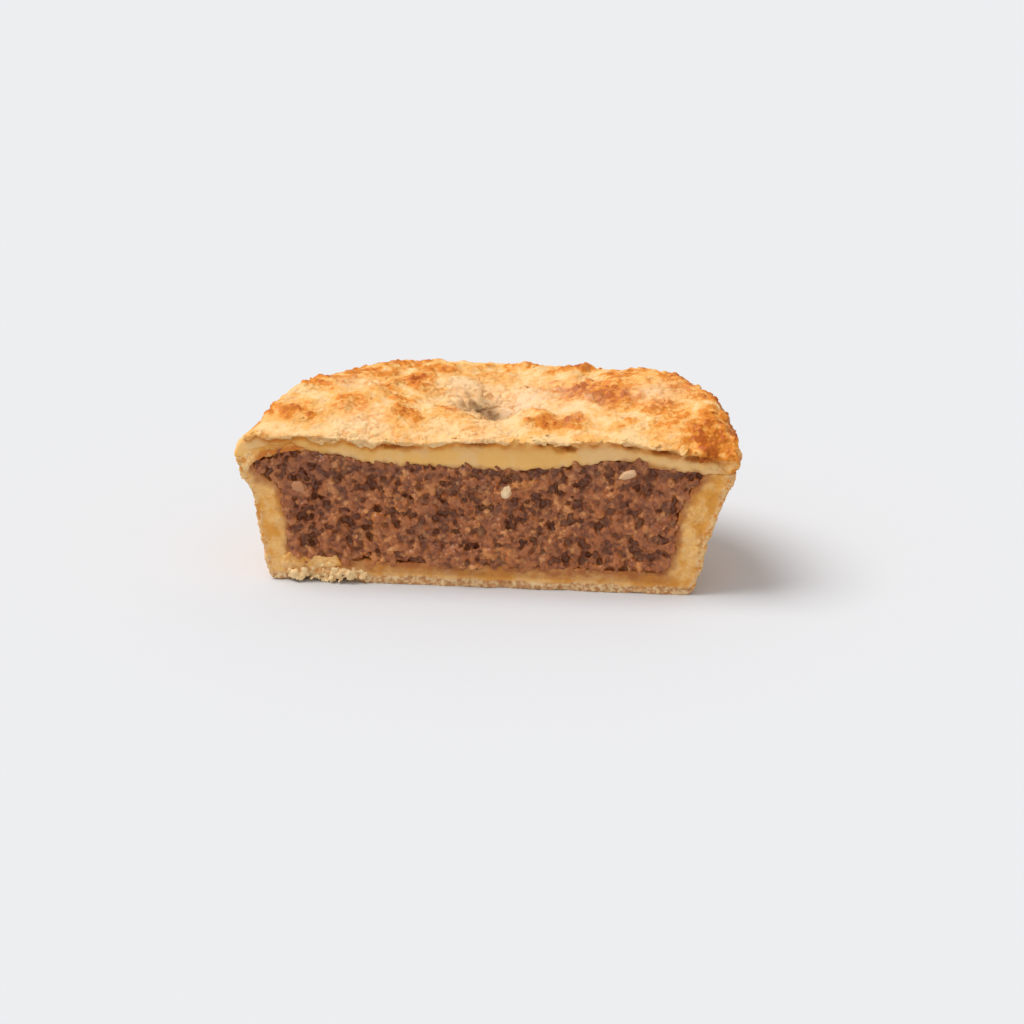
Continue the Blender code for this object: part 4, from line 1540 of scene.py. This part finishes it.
def torn_tongue(name, outline, forward, grid, seed):
    """A lumpy slice of pastry with that outline, which stands a little out of the cut, and its places."""
    bm = bmesh.new()
    front = [bm.verts.new((MIDDLE_X + x * MM, CUT_Y - forward, z * MM)) for x, z in outline]
    grown = bmesh.ops.extrude_face_region(bm, geom=[bm.faces.new(front)])["geom"]
    for vertex in [each for each in grown if isinstance(each, bmesh.types.BMVert)]:
        vertex.co.y += forward + 1.8 * MM
    bmesh.ops.triangulate(bm, faces=bm.faces[:])
    bmesh.ops.recalc_face_normals(bm, faces=bm.faces[:])
    tongue = melted(remeshed(object_from(name, mesh_from(bm, name)), grid), 0.5, 6)
    places, normals = places_and_normals(tongue)
    lumpy = 0.45 * waves(places, 2.6 * MM, seed) + 0.35 * waves(places, 1.0 * MM, seed + 2)
    places += normals * (lumpy * MM)[:, None]
    move_points(tongue, places)
    paint(tongue, "inside", np.ones(len(places)))
    paint(tongue, "edge", np.full(len(places), 0.3))
    return tongue, places


class PIE_OT_flap(bpy.types.Operator):
    """Makes the torn tongue of pastry that stands over the broken crumb"""

    bl_idname = "pie.make_flap"
    bl_label = "Torn flap"

    def execute(self, context):
        flap, places = torn_tongue("torn_flap", FLAP_OUTLINE, 1.1 * MM, TONGUE_GRID, 61)
        paint(flap, "crumbly", 0.5 * smooth((5.2 - places[:, 2] / MM) / 1.5))
        paint(flap, "moist", 0.35 * smooth(waves(places, 3 * MM, 65)))
        finished_piece(flap, None, bpy.data.materials["baked_case"])
        return {"FINISHED"}


class PIE_OT_corner(bpy.types.Operator):
    """Makes the corner where the lid folds over the left end of the filling"""

    bl_idname = "pie.make_corner"
    bl_label = "Folded corner"

    def execute(self, context):
        corner, places = torn_tongue("folded_corner", CORNER_OUTLINE, 0.9 * MM, TONGUE_GRID, 71)
        across, height = on_the_cut(places)
        rim = np.interp(across, [x for x, z in CORNER_RIM], [z for x, z in CORNER_RIM])
        above = height - rim + 0.5 * waves(places, 1.5 * MM, 75)
        paint(corner, "amber", 0.9 * smooth((2.2 - above) / 1.0) * smooth((across + 61.5) / 2.0))
        paint(corner, "edge", 0.8 * smooth((-60.5 - across) / 2.0))
        finished_piece(corner, None, bpy.data.materials["baked_case"])
        return {"FINISHED"}


class PIE_OT_stage(bpy.types.Operator):
    """Sets the floor, the soft light and the camera"""

    bl_idname = "pie.set_stage"
    bl_label = "Stage"

    def execute(self, context):
        scene, stage = context.scene, context.scene.pie_stage
        bm = bmesh.new()
        bmesh.ops.create_grid(bm, x_segments=1, y_segments=1, size=FLOOR_HALF_WIDTH)
        floor = object_from("floor", mesh_from(bm, "floor"))
        material, tree, shader, place = new_material("pale_floor")
        shader.inputs["Base Color"].default_value = (*stage.floor, 1)
        shader.inputs["Roughness"].default_value = 0.9
        shader.inputs["Specular IOR Level"].default_value = 0.1
        floor.data.materials.append(material)
        world = bpy.data.worlds.new("soft_room")
        world.use_nodes = True
        world.node_tree.nodes["Background"].inputs["Color"].default_value = (*ROOM_TINT, 1)
        world.node_tree.nodes["Background"].inputs["Strength"].default_value = stage.room
        scene.world = world
        soft_sun("key", TOWARDS_KEY, KEY_SPREAD, stage.key, KEY_TINT)
        turn, rise = stage.azimuth, stage.elevation
        back = Vector((math.sin(turn) * math.cos(rise), -math.cos(turn) * math.cos(rise), math.sin(rise)))
        data = bpy.data.cameras.new("camera")
        data.sensor_width = 36.0
        data.lens = stage.lens
        data.clip_start = 0.01
        camera = bpy.data.objects.new("camera", data)
        scene.collection.objects.link(camera)
        camera.location = AIM + back * stage.distance
        camera.rotation_euler = (-back).to_track_quat("-Z", "Y").to_euler()
        scene.camera = camera
        scene.view_settings.view_transform = "Standard"
        return {"FINISHED"}


def soft_sun(name, towards, spread, power, tint):
    """A far light in a direction, as wide as its spread, so that the floor is lit evenly."""
    data = bpy.data.lights.new(name, "SUN")
    data.angle = spread
    data.energy = power
    data.color = tint
    lamp = bpy.data.objects.new(name, data)
    lamp.location = towards
    lamp.rotation_euler = (-Vector(towards)).to_track_quat("-Z", "Y").to_euler()
    bpy.context.scene.collection.objects.link(lamp)


class PIE_PT_panel(bpy.types.Panel):
    """Lists the pie's sizes, colours and pieces"""

    bl_idname = "PIE_PT_panel"
    bl_label = "Half Meat Pie"
    bl_space_type = "VIEW_3D"
    bl_region_type = "UI"
    bl_category = "Pie"

    def draw(self, context):
        layout = self.layout
        for group in (context.scene.pie_sizes, context.scene.pie_colours, context.scene.pie_stage):
            box = layout.box()
            for name in group.__annotations__:
                box.prop(group, name)
        for step in PIECES:
            layout.operator(step.bl_idname)


PIECES = (
    PIE_OT_lid,
    PIE_OT_flakes,
    PIE_OT_case,
    PIE_OT_filling,
    PIE_OT_onion,
    PIE_OT_flap,
    PIE_OT_corner,
    PIE_OT_crumbs,
    PIE_OT_stage,
)
CLASSES = (PieSizes, PieColours, PieStage, *PIECES, PIE_PT_panel)


def register():
    for each in CLASSES:
        bpy.utils.register_class(each)
    bpy.types.Scene.pie_sizes = bpy.props.PointerProperty(type=PieSizes)
    bpy.types.Scene.pie_colours = bpy.props.PointerProperty(type=PieColours)
    bpy.types.Scene.pie_stage = bpy.props.PointerProperty(type=PieStage)


def unregister():
    del bpy.types.Scene.pie_stage
    del bpy.types.Scene.pie_colours
    del bpy.types.Scene.pie_sizes
    for each in reversed(CLASSES):
        bpy.utils.unregister_class(each)


def main():
    register()
    for step in PIECES:
        group, name = step.bl_idname.split(".")
        getattr(getattr(bpy.ops, group), name)()


if __name__ == "__main__":
    main()
